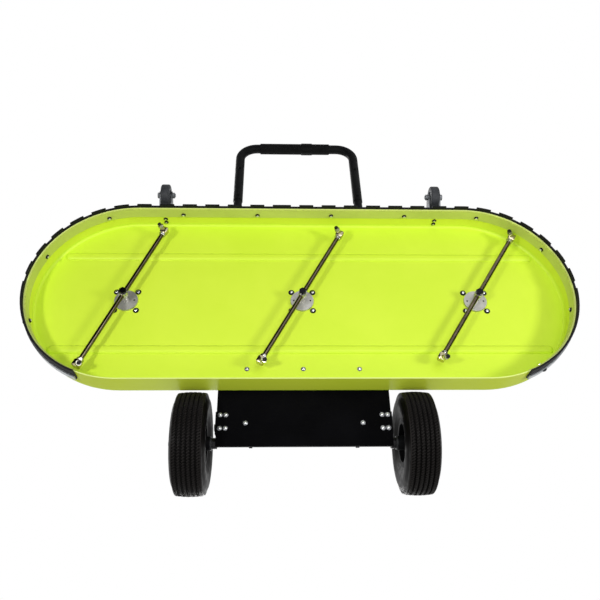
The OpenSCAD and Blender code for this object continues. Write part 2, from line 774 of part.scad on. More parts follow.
module gauge_bracket(side) {
  plate_half = cheek_in + bracket_t;
  seat_y = wall_r + lay_gap;
  color(black_steel) placed() translate([side * gauge_x, 0, 0]) difference() {
    union() {
      translate([-plate_half, seat_y, bracket_low]) cube([2 * plate_half, bracket_t, bracket_high - bracket_low]);
      for (s = [1, -1])
        translate([s > 0 ? cheek_in : -plate_half, 0, 0]) rotate([90, 0, 90]) linear_extrude(bracket_t) {
          polygon([[seat_y, bracket_low], [seat_y, bracket_high], [seat_y + bracket_t + 6, bracket_high],
            [gauge_y + cheek_r * 0.8, gauge_z + cheek_r * 0.6], [gauge_y, gauge_z],
            [gauge_y - cheek_r * 0.8, gauge_z - cheek_r * 0.6]]);
          translate([gauge_y, gauge_z]) circle(r = cheek_r);
        }
    }
    translate([-plate_half - 1, gauge_y, gauge_z]) rotate([0, 90, 0])
      cylinder(r = gauge_axle_d / 2 + run_gap, h = 2 * plate_half + 2);
    translate([-side * gauge_x, 0, 0]) gauge_bolt_holes();
  }
}

module gauge_bolts() {
  color(zinc) placed()
    for (s = [1, -1], z = bracket_bolt_z)
      translate([s * gauge_x, inner_r, z]) rotate([-90, 0, 0])
        hex_bolt(chassis_bolt_d, sheet_t + lay_gap + bracket_t, 4, 5, 1.5);
}

module gauge_axle(side) {
  half = cheek_in + bracket_t;
  color(zinc) placed() translate([side * gauge_x, gauge_y, gauge_z]) rotate([0, side * 90, 0]) {
    translate([0, 0, -half - 9]) cylinder(d = gauge_axle_d, h = 2 * half + 10);
    translate([0, 0, half + lay_gap]) cylinder(d = gauge_axle_d * 1.7, h = 6, $fn = 6);
    translate([0, 0, -half - lay_gap - 7]) cylinder(d = gauge_axle_d * 1.7, h = 7, $fn = 6);
  }
}

module gauge_tyre(side) {
  hub_r = gauge_d / 2 - 11;
  round = 5;
  half = gauge_w / 2;
  r = gauge_d / 2;
  color("#4a4d50") placed() translate([side * gauge_x, gauge_y, gauge_z]) rotate([0, 90, 0])
    rotate_extrude($fn = 72) polygon(concat(
      [[hub_r + lay_gap, -half], [r - round, -half]],
      arc(r - round, -half + round, round, -90, 0, 5),
      arc(r - round, half - round, round, 0, 90, 5),
      [[hub_r + lay_gap, half]]
    ));
}

module gauge_hub(side) {
  hub_r = gauge_d / 2 - 11;
  color("#6c6f72") placed() translate([side * gauge_x, gauge_y, gauge_z]) rotate([0, 90, 0]) difference() {
    union() {
      translate([0, 0, -gauge_w / 2]) cylinder(r = hub_r, h = gauge_w);
      translate([0, 0, -gauge_w / 2 - 1]) cylinder(r = gauge_axle_d / 2 + 4, h = gauge_w + 2);
    }
    translate([0, 0, -gauge_w]) cylinder(r = gauge_axle_d / 2 + run_gap, h = 2 * gauge_w);
    for (s = [0, 1]) mirror([0, 0, s]) translate([0, 0, gauge_w / 2 - 4]) difference() {
      cylinder(r = hub_r - 3, h = 6);
      translate([0, 0, -1]) cylinder(r = gauge_axle_d / 2 + 4, h = 8);
    }
  }
}

// Rotors, drawn with the bar along Y

module rotor_place(i) {
  placed() translate([rotor_x[i], 0, bar_z]) rotate([0, 0, rotor_turn[i]]) children();
}

// Shaft, hub block and the nut under it
module rotor_hub(i) {
  shaft_top = flange_z + swivel_h * 0.6 - 2 - bar_z;
  color(stainless) rotor_place(i) difference() {
    union() {
      translate([0, 0, -hub_h / 2]) cylinder(d = hub_d, h = hub_h);
      cylinder(d = shaft_d, h = shaft_top);
      translate([0, 0, -hub_h / 2 - 8]) cylinder(d = shaft_d * 1.25, h = 9, $fn = 6);
    }
    for (s = [1, -1]) rotate([-s * 90, 0, 0]) translate([0, 0, hub_d / 2 - 8]) cylinder(r = bar_d / 2 + lay_gap, h = 20);
  }
}

module spray_bar(i) {
  start = hub_d / 2 - 8 + lay_gap;
  stop = nozzle_reach - elbow_d / 2 + bar_seat;
  color(stainless) rotor_place(i) for (s = [1, -1]) rotate([-s * 90, 0, 0]) difference() {
    translate([0, 0, start]) cylinder(d = bar_d, h = stop - start);
    translate([0, 0, start - 1]) cylinder(d = bar_d - 2 * bar_wall, h = stop - start + 2);
  }
}

// Elbow at each end of a bar: a ball body, a socket for the bar and a spout for the nozzle
module elbows(i) {
  collar = 8;
  color(brass) rotor_place(i) for (s = [0, 180]) rotate([0, 0, s]) translate([0, nozzle_reach, 0]) difference() {
    union() {
      sphere(d = elbow_d);
      rotate([90, 0, 0]) cylinder(d = elbow_d, h = elbow_d / 2 + collar);
      rotate([0, 180 - nozzle_tilt, 0]) cylinder(d = elbow_d - 2, h = elbow_d / 2 + 3);
    }
    rotate([90, 0, 0]) translate([0, 0, elbow_d / 2 - bar_seat - lay_gap]) cylinder(r = bar_d / 2 + lay_gap, h = over);
    rotate([0, 180 - nozzle_tilt, 0]) translate([0, 0, elbow_d / 2 - 4]) cylinder(d = 9, h = over);
  }
}

module nozzles(i) {
  seat = elbow_d / 2 + 3;
  root = elbow_d / 2 - 4 + lay_gap;
  color("#8f8a7c") rotor_place(i) for (s = [0, 180]) rotate([0, 0, s])
    translate([0, nozzle_reach, 0]) rotate([0, 180 - nozzle_tilt, 0]) difference() {
      union() {
        translate([0, 0, root]) cylinder(d = 9 - 2 * lay_gap, h = seat - root + 1);
        translate([0, 0, seat + lay_gap]) cylinder(d = 14, h = 8, $fn = 6);
        translate([0, 0, seat + 8]) cylinder(d = 10, h = nozzle_len - seat - 8);
      }
      translate([0, 0, nozzle_len - 3]) cylinder(d = 3, h = 4);
    }
}

// Handle, drawn along Y from its pivot and tilted to its low stop

module handle_place() {
  placed() translate([0, -clevis_y, pivot_z]) rotate([handle_slope, 0, 0]) children();
}

module tube_y(from, to, d) {
  translate([0, from, 0]) rotate([-90, 0, 0]) cylinder(d = d, h = to - from);
}

module splice_holes(r) {
  for (y = splice_bolts)
    translate([0, y, -loop_d]) cylinder(r = r, h = 2 * loop_d);
}

module handle_leg(side) {
  leg_tail = ear_r - 1;
  color(black_steel) handle_place() translate([side * clevis_x, 0, 0]) difference() {
    tube_y(-leg_tail, leg_len, leg_d);
    tube_y(-leg_tail - 1, leg_len + 1, leg_d - 2 * tube_wall);
    translate([-leg_d, 0, 0]) rotate([0, 90, 0]) cylinder(r = pin_d / 2 + run_gap, h = 2 * leg_d);
    splice_holes(splice_bolt_d / 2 + bolt_gap);
  }
}

// Solid path of the loop at a given tube diameter
module loop_path(d, extra) {
  corner_y = loop_y - loop_bend_r;
  corner_x = clevis_x - loop_bend_r;
  for (s = [1, -1]) translate([s * clevis_x, 0, 0]) tube_y(splice_start - extra, corner_y, d);
  for (s = [0, 1]) mirror([s, 0, 0]) translate([corner_x, corner_y, 0])
    rotate_extrude(angle = 90) translate([loop_bend_r, 0]) circle(d = d, $fn = 48);
  translate([-corner_x, loop_y, 0]) rotate([0, 90, 0]) cylinder(d = d, h = 2 * corner_x);
}

module handle_loop() {
  color(black_steel) handle_place() difference() {
    loop_path(loop_d, 0);
    loop_path(loop_d - 2 * tube_wall, 1);
    for (s = [1, -1]) translate([s * clevis_x, 0, 0]) splice_holes(splice_bolt_d / 2 + bolt_gap);
  }
}

module splice_bolts() {
  head_h = 3.5;
  color(zinc) handle_place() for (s = [1, -1], y = splice_bolts)
    translate([s * clevis_x, y, -loop_d / 2 - lay_gap])
      hex_bolt(splice_bolt_d, loop_d + 2 * lay_gap, head_h, 5, 1);
}

module grip() {
  color(rubber) handle_place() translate([grip_x - grip_len / 2, loop_y, 0]) rotate([0, 90, 0]) difference() {
    cylinder(d = grip_d, h = grip_len);
    translate([0, 0, -1]) cylinder(r = loop_d / 2 + lay_gap, h = grip_len + 2);
  }
}

module grip_band() {
  inner = grip_d / 2 + lay_gap;
  color("#121213") handle_place() translate([grip_band_x - grip_band_w / 2, loop_y, 0]) rotate([0, 90, 0]) difference() {
    cylinder(r = inner + grip_band_t, h = grip_band_w);
    translate([0, 0, -1]) cylinder(r = inner, h = grip_band_w + 2);
  }
}

deck_top();
deck_wall();
skirt_rubber();
skirt_strip();
skirt_band();
skirt_bolts();
swivel(0);  // swivel_left
swivel(1);  // swivel_centre
swivel(2);  // swivel_right
gland(0);  // gland_left
gland(1);  // gland_centre
gland(2);  // gland_right
swivel_bolts();
supply_pipes();
supply_tee();
supply_elbows();
supply_inlet();
chassis_plate();
chassis_bolts();
clevis(1);  // clevis_left
clevis(-1);  // clevis_right
handle_pins();
hanger(1);  // hanger_left
hanger(-1);  // hanger_right
axle();
axle_collars();
axle_nuts();
gauge_bracket(1);  // gauge_bracket_left
gauge_bracket(-1);  // gauge_bracket_right
gauge_bolts();
gauge_axle(1);  // gauge_axle_left
gauge_axle(-1);  // gauge_axle_right
tyre(1);  // tyre_left
rim(1);  // rim_left
bushes(1);  // bushes_left
tyre(-1);  // tyre_right
rim(-1);  // rim_right
bushes(-1);  // bushes_right
gauge_tyre(1);  // gauge_tyre_left
gauge_hub(1);  // gauge_hub_left
gauge_tyre(-1);  // gauge_tyre_right
gauge_hub(-1);  // gauge_hub_right
rotor_hub(0);  // rotor_hub_left
spray_bar(0);  // spray_bar_left
elbows(0);  // elbows_left
nozzles(0);  // nozzles_left
rotor_hub(1);  // rotor_hub_centre
spray_bar(1);  // spray_bar_centre
elbows(1);  // elbows_centre
nozzles(1);  // nozzles_centre
rotor_hub(2);  // rotor_hub_right
spray_bar(2);  // spray_bar_right
elbows(2);  // elbows_right
nozzles(2);  // nozzles_right
handle_leg(1);  // handle_leg_left
handle_leg(-1);  // handle_leg_right
handle_loop();
splice_bolts();
grip();
grip_band();
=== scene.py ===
import math

import bmesh
import bpy
import numpy as np
from mathutils import Matrix, Vector


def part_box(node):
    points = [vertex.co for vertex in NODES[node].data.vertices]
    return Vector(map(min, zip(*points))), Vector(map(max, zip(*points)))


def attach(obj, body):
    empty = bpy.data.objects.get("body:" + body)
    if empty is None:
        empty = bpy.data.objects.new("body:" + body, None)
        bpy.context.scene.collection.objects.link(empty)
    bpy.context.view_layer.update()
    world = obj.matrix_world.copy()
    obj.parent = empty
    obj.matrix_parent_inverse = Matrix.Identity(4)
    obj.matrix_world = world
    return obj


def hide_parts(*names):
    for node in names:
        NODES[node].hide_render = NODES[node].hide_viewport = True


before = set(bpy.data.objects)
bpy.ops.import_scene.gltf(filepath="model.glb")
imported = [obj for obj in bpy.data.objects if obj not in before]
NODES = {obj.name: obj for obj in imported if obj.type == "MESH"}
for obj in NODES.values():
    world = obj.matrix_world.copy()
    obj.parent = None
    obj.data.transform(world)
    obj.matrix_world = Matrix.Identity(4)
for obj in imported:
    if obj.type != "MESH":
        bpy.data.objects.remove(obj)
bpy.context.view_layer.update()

# All sizes are in millimetres, in the solids' own frame, until put() writes them in metres.
MM = 0.001
SIDES = (("left", 1), ("right", -1))
ROTORS = ("left", "centre", "right")
X_AXIS = np.array([1.0, 0.0, 0.0])
BACKWARD = np.array([0.0, 1.0, 0.0])
UP = np.array([0.0, 0.0, 1.0])


def middle(node):
    """Middle of a CAD node's box, in millimetres."""
    low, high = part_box(node)
    return np.array((low + high) / 2) / MM


def corners(node):
    """Lowest and highest corner of a CAD node's box, in millimetres."""
    low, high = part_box(node)
    return np.array(low) / MM, np.array(high) / MM


# The row of rotors, the bars' height, reach and turn at rest, and the nozzles' tilt
ROW_Y = middle("gland_centre")[1]
ROTOR_X = np.array([middle(f"gland_{side}")[0] for side in ROTORS])
BAR_Z = middle("spray_bar_centre")[2]
REACH = 231.0
TURNS = np.radians([23.0, 28.5, 33.0])
TILT = math.radians(30)
# The pan: its sheet, the glands' reach into it, its levels, and the wall's round ends
SHEET = 3
GLAND_REACH = 2.9
GLAND_LOW, GLAND_HIGH = (corner[2] for corner in corners("gland_centre"))
CEILING_Z = GLAND_HIGH - GLAND_REACH
DECK_Z = CEILING_Z + SHEET
RIM_Z = corners("deck_wall")[0][2]
WALL_R = corners("deck_wall")[1][1] - ROW_Y
END_X = 462.0
# Outer face of the skirt's clamp strip and inner face of the band inside the wall, from a round end's centre
BAND_SHEET = 2
STRIP_OUT = corners("skirt_strip")[1][1] - ROW_Y
BAND_IN = corners("skirt_band")[1][1] - ROW_Y - BAND_SHEET
# The front wheels: their axle, their distance from the middle, and the tyre's radius, half width and tread
AXLE = middle("axle")
HALF_TRACK = abs(middle("tyre_left")[0])
TYRE_R = 127.0
TYRE_HALF = 43.0
TREAD_HALF = 33.5
CROWN = 2.5
# The handle at its low stop: its pivot, slope and loop
PIVOT = np.array([0.0, middle("handle_pins")[1], middle("handle_pins")[2]])
SLOPE = math.radians(8.5)
ALONG = np.array([0.0, math.cos(SLOPE), math.sin(SLOPE)])
RISING = np.array([0.0, -math.sin(SLOPE), math.cos(SLOPE)])
LOOP_R = 15.9
LOOP_ALONG = 1150.0


# Materials


def linear(hex_colour):
    """Linear colour of an sRGB hex value: c / 12.92 up to 0.04045, and ((c + 0.055) / 1.055) ^ 2.4 above."""
    c = np.array([int(hex_colour[i : i + 2], 16) for i in (1, 3, 5)]) / 255
    c = np.where(c <= 0.04045, c / 12.92, ((c + 0.055) / 1.055) ** 2.4)
    return (*(float(x) for x in c), 1.0)


def per(size_mm):
    """Scale of a texture whose marks are about that many millimetres wide."""
    return 1 / (size_mm * MM)


def add(tree, kind, links=None, **settings):
    """Adds a node, sets its properties, and fills its inputs with values or with other nodes' outputs."""
    made = tree.nodes.new(kind)
    for name, value in settings.items():
        setattr(made, name, value)
    for name, value in (links or {}).items():
        socket = made.inputs[name]
        if isinstance(value, bpy.types.NodeSocket):
            tree.links.new(value, socket)
        else:
            socket.default_value = value
    return made


def empty_material(name):
    """A new material and its node tree, with nothing in it."""
    material = bpy.data.materials.new(name)
    material.use_nodes = True
    material.node_tree.nodes.clear()
    return material, material.node_tree


def finish(name, dark, light, mottle, rough, grain, depth, shine, stretch=(1, 1, 1), cells=False):
    """A material with three layers of detail: a slow mottling between two colours, marks that vary the
    roughness between two values, and a fine grain, or cells, that raise the surface by depth millimetres.
    Mottle and grain are the sizes of their marks in millimetres."""
    mark = mottle * 0.22
    colour_span = (0.32, 0.68)
    gloss_span = (0.3, 0.7)
    material, tree = empty_material(name)
    place = add(tree, "ShaderNodeTexCoord")
    laid = add(tree, "ShaderNodeMapping", {"Vector": place.outputs["Object"], "Scale": stretch}).outputs[0]
    spots = add(
        tree, "ShaderNodeTexNoise", {"Vector": laid, "Scale": per(mottle), "Detail": 5.0, "Roughness": 0.6}
    )
    ramp = add(tree, "ShaderNodeValToRGB", {"Fac": spots.outputs["Fac"]})
    for element, position, colour in zip(ramp.color_ramp.elements, colour_span, (dark, light)):
        element.position = position
        element.color = linear(colour)
    marks = add(tree, "ShaderNodeTexNoise", {"Vector": laid, "Scale": per(mark), "Detail": 6.0})
    span = dict(zip(("From Min", "From Max", "To Min", "To Max"), (*gloss_span, *rough)))
    gloss = add(tree, "ShaderNodeMapRange", {"Value": marks.outputs["Fac"], **span})
    if cells:
        fine = add(tree, "ShaderNodeTexVoronoi", {"Vector": laid, "Scale": per(grain)})
        height = fine.outputs["Distance"]
    else:
        fine = add(tree, "ShaderNodeTexNoise", {"Vector": laid, "Scale": per(grain), "Detail": 3.0})
        height = fine.outputs["Fac"]
    bump = add(tree, "ShaderNodeBump", {"Height": height, "Strength": 0.5, "Distance": depth * MM})
    surface = {
        "Base Color": ramp.outputs["Color"],
        "Roughness": gloss.outputs["Result"],
        "Normal": bump.outputs["Normal"],
    }
    shader = add(tree, "ShaderNodeBsdfPrincipled", {**surface, **shine})
    add(tree, "ShaderNodeOutputMaterial", {"Surface": shader.outputs["BSDF"]})
    return material


def coat(ior, specular):
    """Shader values of paint, rubber and plastic."""
    return {"Metallic": 0.0, "IOR": ior, "Specular IOR Level": specular}


METAL = {"Metallic": 1.0}

# Powder-coated steel: sprayed dry and baked, so an even colour with a soft gloss and a fine orange peel.
# The peel is about 1.5 mm, drawn at 4 mm so that it shows.
LIME = finish(
    "powder_coated_steel_lime", "#cdea35", "#d4ee3e",
    mottle=260, rough=(0.4, 0.5), grain=4, depth=0.05, shine=coat(1.5, 0.35),
)
# The same coat on the thin inner band, drawn duller and greyer as painted shade.
BAND_LIME_PAINTED_SHADE = finish(
    "powder_coated_band_lime_painted_shade", "#bcc960", "#cad66d",
    mottle=140, rough=(0.42, 0.55), grain=4, depth=0.05, shine=coat(1.5, 0.3),
)
# Powder-coated steel, black: the same process with a finer, drier peel.
BLACK_STEEL = finish(
    "powder_coated_steel_black", "#0c0c0e", "#151617",
    mottle=120, rough=(0.4, 0.56), grain=3, depth=0.06, shine=coat(1.5, 0.04),
)
# The chassis plate in black powder coat, with hardly any sheen, and drawn a deeper black than the other black
# steel: that extra darkness is painted shade.
PLATE_BLACK_PAINTED_SHADE = finish(
    "powder_coated_plate_black_painted_shade", "#040405", "#08080a",
    mottle=120, rough=(0.5, 0.62), grain=3, depth=0.06, shine=coat(1.5, 0.015),
)
# Extruded rubber sheet: matt, with faint lines along its length from the die, 2 mm apart.
SKIRT_RUBBER = finish(
    "extruded_rubber_black", "#0d0d0e", "#171718",
    mottle=90, rough=(0.6, 0.78), grain=2, depth=0.15, shine=coat(1.52, 0.15), stretch=(0.08, 0.08, 1),
)
# Zinc-plated steel: bright grey with small crystals of about 2 mm, drawn at their real size.
ZINC = finish(
    "zinc_plated_steel", "#8d9194", "#b9bdbf",
    mottle=14, rough=(0.26, 0.46), grain=2.2, depth=0.03, shine=METAL, cells=True,
)
# Zinc-plated fasteners: the same plating, drawn darker than the strip's as painted shade.
BOLT_ZINC_PAINTED_SHADE = finish(
    "zinc_plated_bolts_painted_shade", "#67686a", "#97999b",
    mottle=6, rough=(0.22, 0.42), grain=1.2, depth=0.03, shine=METAL,
)
# The screws' ends in their nuts: the same zinc plating, drawn near white as a painted highlight.
SCREW_END_PAINTED_HIGHLIGHT = finish(
    "plated_screw_ends_painted_highlight", "#c6c8ca", "#ececec",
    mottle=5, rough=(0.18, 0.34), grain=1.2, depth=0.03, shine=METAL,
)
# Plain steel of the gauge wheels' brackets and of the axles: dark grey under a clear passivate.
DARK_ZINC = finish(
    "dark_plated_steel", "#46484a", "#65676a",
    mottle=18, rough=(0.3, 0.48), grain=2, depth=0.03, shine={"Metallic": 0.9},
)
# Black oxide steel of the dark bolts and nuts: a thin blackened skin with a dull metal sheen.
BLACK_OXIDE = finish(
    "black_oxide_steel", "#17171a", "#29292b",
    mottle=10, rough=(0.3, 0.48), grain=1.5, depth=0.03, shine={"Metallic": 0.7},
)
# Drawn stainless tube, polished: it mirrors the room, and its colour is drawn dark and warm as a painted
# reflection of a dark room with a warm streak.
STAINLESS_PAINTED_REFLECTION = finish(
    "polished_stainless_tube_painted_reflection", "#585040", "#7a705c",
    mottle=22, rough=(0.1, 0.22), grain=1.5, depth=0.015, shine=METAL,
)
# Turned stainless of the bars' nuts and the shafts' collars: brighter than the tube.
BRIGHT_STEEL = finish(
    "turned_stainless", "#a9a8a2", "#cfcec8",
    mottle=9, rough=(0.14, 0.3), grain=1.2, depth=0.02, shine=METAL,
)
# Cast and turned brass of the supply fittings.
BRASS = finish(
    "turned_brass", "#a78d4d", "#c4ab6c",
    mottle=16, rough=(0.24, 0.42), grain=1.4, depth=0.04, shine=METAL,
)
# Plated forging of the bars' elbows: pale and slightly yellow.
PLATED_BRASS = finish(
    "plated_forged_brass", "#a79d78", "#cec6a6",
    mottle=10, rough=(0.12, 0.28), grain=1.6, depth=0.05, shine=METAL,
)
# Ground steel of the nozzles: fine, bright and slightly warm.
NOZZLE_STEEL = finish(
    "ground_steel", "#97948a", "#c3c0b6",
    mottle=7, rough=(0.18, 0.34), grain=1.2, depth=0.02, shine=METAL,
)
# Black nylon of the nozzles' tips and the tyre valves: moulded, satin.
TIP_NYLON = finish(
    "moulded_nylon_black", "#0e0e0f", "#18181a",
    mottle=8, rough=(0.4, 0.55), grain=1.2, depth=0.03, shine=coat(1.53, 0.2),
)
# Dark acetal bushes: moulded, satin.
BUSH_PLASTIC = finish(
    "moulded_acetal_dark", "#2c2d2f", "#3a3b3d",
    mottle=25, rough=(0.38, 0.5), grain=1.2, depth=0.03, shine=coat(1.48, 0.3),
)
# Dark grey gauge-wheel rubber: moulded, matt.
GREY_RUBBER = finish(
    "moulded_rubber_grey", "#252729", "#36383b",
    mottle=22, rough=(0.5, 0.68), grain=1.4, depth=0.08, shine=coat(1.52, 0.25),
)
# Nylon hubs of the gauge wheels: moulded, satin.
HUB_PLASTIC = finish(
    "moulded_nylon_grey", "#4b4e51", "#5f6265",
    mottle=18, rough=(0.4, 0.52), grain=1.2, depth=0.03, shine=coat(1.53, 0.3),
)
# Closed-cell foam: dull, with cells of about 1 mm, drawn at 2 mm so that they show.
FOAM = finish(
    "closed_cell_foam_black", "#0c0c0d", "#151516",
    mottle=40, rough=(0.8, 0.95), grain=2, depth=0.35, shine=coat(1.4, 0.12), cells=True,
)
# Smooth rubber band round the grip: dipped, nearly matt.
BAND_RUBBER = finish(
    "smooth_rubber_black", "#070708", "#0d0d0e",
    mottle=30, rough=(0.5, 0.62), grain=2, depth=0.06, shine=coat(1.52, 0.06),
)


def opened(material):
    """A finish's node tree with its shader, colour ramp and bump, and the surface's X, Y and Z."""
    tree = material.node_tree
    found = {node.type: node for node in tree.nodes}
    place = add(tree, "ShaderNodeTexCoord")
    axes = add(tree, "ShaderNodeSeparateXYZ", {"Vector": place.outputs["Object"]})
    return tree, found["BSDF_PRINCIPLED"], found["VALTORGB"], found["BUMP"], axes.outputs


def colour_over(tree, shader, ramp, share, colour):
    """Lays a second colour over a finish's own, by a share from 0 to 1."""
    mixed = add(
        tree, "ShaderNodeMix", {0: share, 6: ramp.outputs["Color"], 7: linear(colour)}, data_type="RGBA"
    )
    tree.links.new(mixed.outputs[2], shader.inputs["Base Color"])


def edged_lime():
    """Lime coat of the rolled wall, duller than the pressed top's, with its colour drawn a shade paler and
    yellower as painted sheen. It turns to pale cream over the last millimetre above the wall's cut rim."""
    # The wall's colour is drawn paler and yellower than the top's: painted sheen.
    material = finish(
        "powder_coated_wall_lime_painted_sheen", "#d7eb3e", "#ddef47",
        mottle=260, rough=(0.4, 0.5), grain=4, depth=0.05, shine=coat(1.5, 0.1),
    )
    pale_below = RIM_Z + 0.2
    coated = RIM_Z + 1.2
    tree, shader, ramp, _, axes = opened(material)
    edge = {"From Min": pale_below * MM, "From Max": coated * MM, "To Min": 1.0, "To Max": 0.0}
    overlay_share = add(tree, "ShaderNodeMapRange", {"Value": axes["Z"], **edge})
    colour_over(tree, shader, ramp, overlay_share.outputs[0], "#dbeb86")
    return material


def turned_gland():
    """Turned steel of the three swivel glands, with rings about each shaft. The row repeats at the rotors'
    pitch, so X is wrapped to that, and the rings follow the distance from the nearest shaft. Tool marks of
    0.4 mm are drawn at 1.6 mm so that they show."""
    pitch = abs(ROTOR_X[1] - ROTOR_X[0])
    mark = 1.6
    mark_depth = 0.05
    material = finish(
        "turned_steel_gland", "#adaca7", "#c3c2bd",
        mottle=20, rough=(0.46, 0.6), grain=2, depth=0.02, shine={"Metallic": 0.85},
    )
    tree, shader, _, bump, axes = opened(material)
    ends = {1: pitch / 2 * MM, 2: -pitch / 2 * MM}
    wrapped = add(tree, "ShaderNodeMath", {0: axes["X"], **ends}, operation="WRAP")
    across = add(tree, "ShaderNodeMath", {0: axes["Y"], 1: -ROW_Y * MM}, operation="ADD")
    flat = add(tree, "ShaderNodeCombineXYZ", {"X": wrapped.outputs[0], "Y": across.outputs[0]})
    rings = add(
        tree,
        "ShaderNodeTexWave",
        {"Vector": flat.outputs[0], "Scale": per(mark) / (2 * math.pi), "Distortion": 0.6, "Detail": 1.0},
        wave_type="RINGS",
        rings_direction="SPHERICAL",
    )
    cuts = {"Height": rings.outputs["Fac"], "Strength": 0.4, "Distance": mark_depth * MM}
    cut = add(tree, "ShaderNodeBump", {"Normal": bump.outputs["Normal"], **cuts})
    tree.links.new(cut.outputs["Normal"], shader.inputs["Normal"])
    return material


def hub_and_nut():
    """Turned stainless of a rotor's hub and shaft. Below the hub's lower face, where its hexagon nut is,
    the colour is that of black oxide."""
    nut_top = BAR_Z - 9.05
    material = finish(
        "turned_stainless_hub", "#a9a8a2", "#cfcec8",
        mottle=9, rough=(0.2, 0.36), grain=1.2, depth=0.02, shine={"Metallic": 0.9},
    )
    tree, shader, ramp, _, axes = opened(material)
    nut = add(tree, "ShaderNodeMath", {0: axes["Z"], 1: nut_top * MM}, operation="LESS_THAN")
    colour_over(tree, shader, ramp, nut.outputs[0], "#1e1e20")
    return material


def tread_painted_highlight_and_shade():
    """Moulded tyre rubber: dry, with a fine mould grain. It is drawn grey on the tread's tops as a painted
    highlight, and black in the grooves as painted shade. A point's height is its distance from the axle plus
    the crown's fall there, which goes with the square of its place across the tread."""
    material = finish(
        "moulded_tyre_rubber_painted_highlight_and_shade", "#050404", "#0b0a09",
        mottle=60, rough=(0.34, 0.54), grain=1.6, depth=0.12, shine=coat(1.52, 0.06),
    )
    black_below = TYRE_R - 1.8
    grey_above = TYRE_R - 0.3
    tree, shader, ramp, _, axes = opened(material)
    side = add(tree, "ShaderNodeMath", {0: axes["X"]}, operation="ABSOLUTE")
    off = add(tree, "ShaderNodeMath", {0: side.outputs[0], 1: HALF_TRACK * MM}, operation="SUBTRACT")
    squared = add(tree, "ShaderNodeMath", {0: off.outputs[0], 1: off.outputs[0]}, operation="MULTIPLY")
    y = add(tree, "ShaderNodeMath", {0: axes["Y"], 1: AXLE[1] * MM}, operation="SUBTRACT")
    z = add(tree, "ShaderNodeMath", {0: axes["Z"], 1: AXLE[2] * MM}, operation="SUBTRACT")
    from_axle = add(tree, "ShaderNodeCombineXYZ", {"Y": y.outputs[0], "Z": z.outputs[0]})
    distance = add(tree, "ShaderNodeVectorMath", {0: from_axle.outputs[0]}, operation="LENGTH")
    fall = {0: squared.outputs[0], 1: CROWN / TREAD_HALF**2 / MM}
    height = add(tree, "ShaderNodeMath", {**fall, 2: distance.outputs["Value"]}, operation="MULTIPLY_ADD")
    tops = {"From Min": black_below * MM, "From Max": grey_above * MM}
    overlay_share = add(tree, "ShaderNodeMapRange", {"Value": height.outputs[0], **tops})
    # Grey tread tops are a painted highlight, and the black grooves are painted shade.
    colour_over(tree, shader, ramp, overlay_share.outputs[0], "#1b1918")
    return material


TREAD_RUBBER = tread_painted_highlight_and_shade()
LOOKS = {
    "deck_top": LIME,
    "deck_wall": edged_lime(),
    "skirt_band": BAND_LIME_PAINTED_SHADE,
    "skirt_rubber": SKIRT_RUBBER,
    "skirt_strip": ZINC,
    "skirt_bolts": BOLT_ZINC_PAINTED_SHADE,
    "swivel": BLACK_STEEL,
    "gland": turned_gland(),
    "swivel_bolts": BOLT_ZINC_PAINTED_SHADE,
    "supply_pipes": ZINC,
    "supply_tee": BRASS,
    "supply_elbows": BRASS,
    "supply_inlet": BRASS,
    "chassis_plate": PLATE_BLACK_PAINTED_SHADE,
    "chassis_bolts": BOLT_ZINC_PAINTED_SHADE,
    "clevis": BLACK_STEEL,
    "handle_pins": DARK_ZINC,
    "hanger": BLACK_STEEL,
    "axle": DARK_ZINC,
    "axle_collars": BLACK_OXIDE,
    "axle_nuts": DARK_ZINC,
    "gauge_bracket": DARK_ZINC,
    "gauge_bolts": BOLT_ZINC_PAINTED_SHADE,
    "gauge_axle": DARK_ZINC,
    "tyre": TREAD_RUBBER,
    "rim": BLACK_STEEL,
    "bushes": BUSH_PLASTIC,
    "gauge_tyre": GREY_RUBBER,
    "gauge_hub": HUB_PLASTIC,
    "rotor_hub": hub_and_nut(),
    "spray_bar": STAINLESS_PAINTED_REFLECTION,
    "elbows": PLATED_BRASS,
    "nozzles": NOZZLE_STEEL,
    "handle_leg": BLACK_STEEL,
    "handle_loop": BLACK_STEEL,
    "splice_bolts": BLACK_OXIDE,
    "grip": FOAM,
    "grip_band": BAND_RUBBER,
}


def look_of(node):
    """Material of a CAD node: its own, or that of its name without the side."""
    return LOOKS.get(node) or LOOKS[node.rsplit("_", 1)[0]]


for name, piece in NODES.items():
    piece.data.materials.clear()
    piece.data.materials.append(look_of(name))


# Shapes

# Distances, in metres, under which two points are one and an edge has no length
SAME_POINT = 1e-6
NO_LENGTH = 1e-7


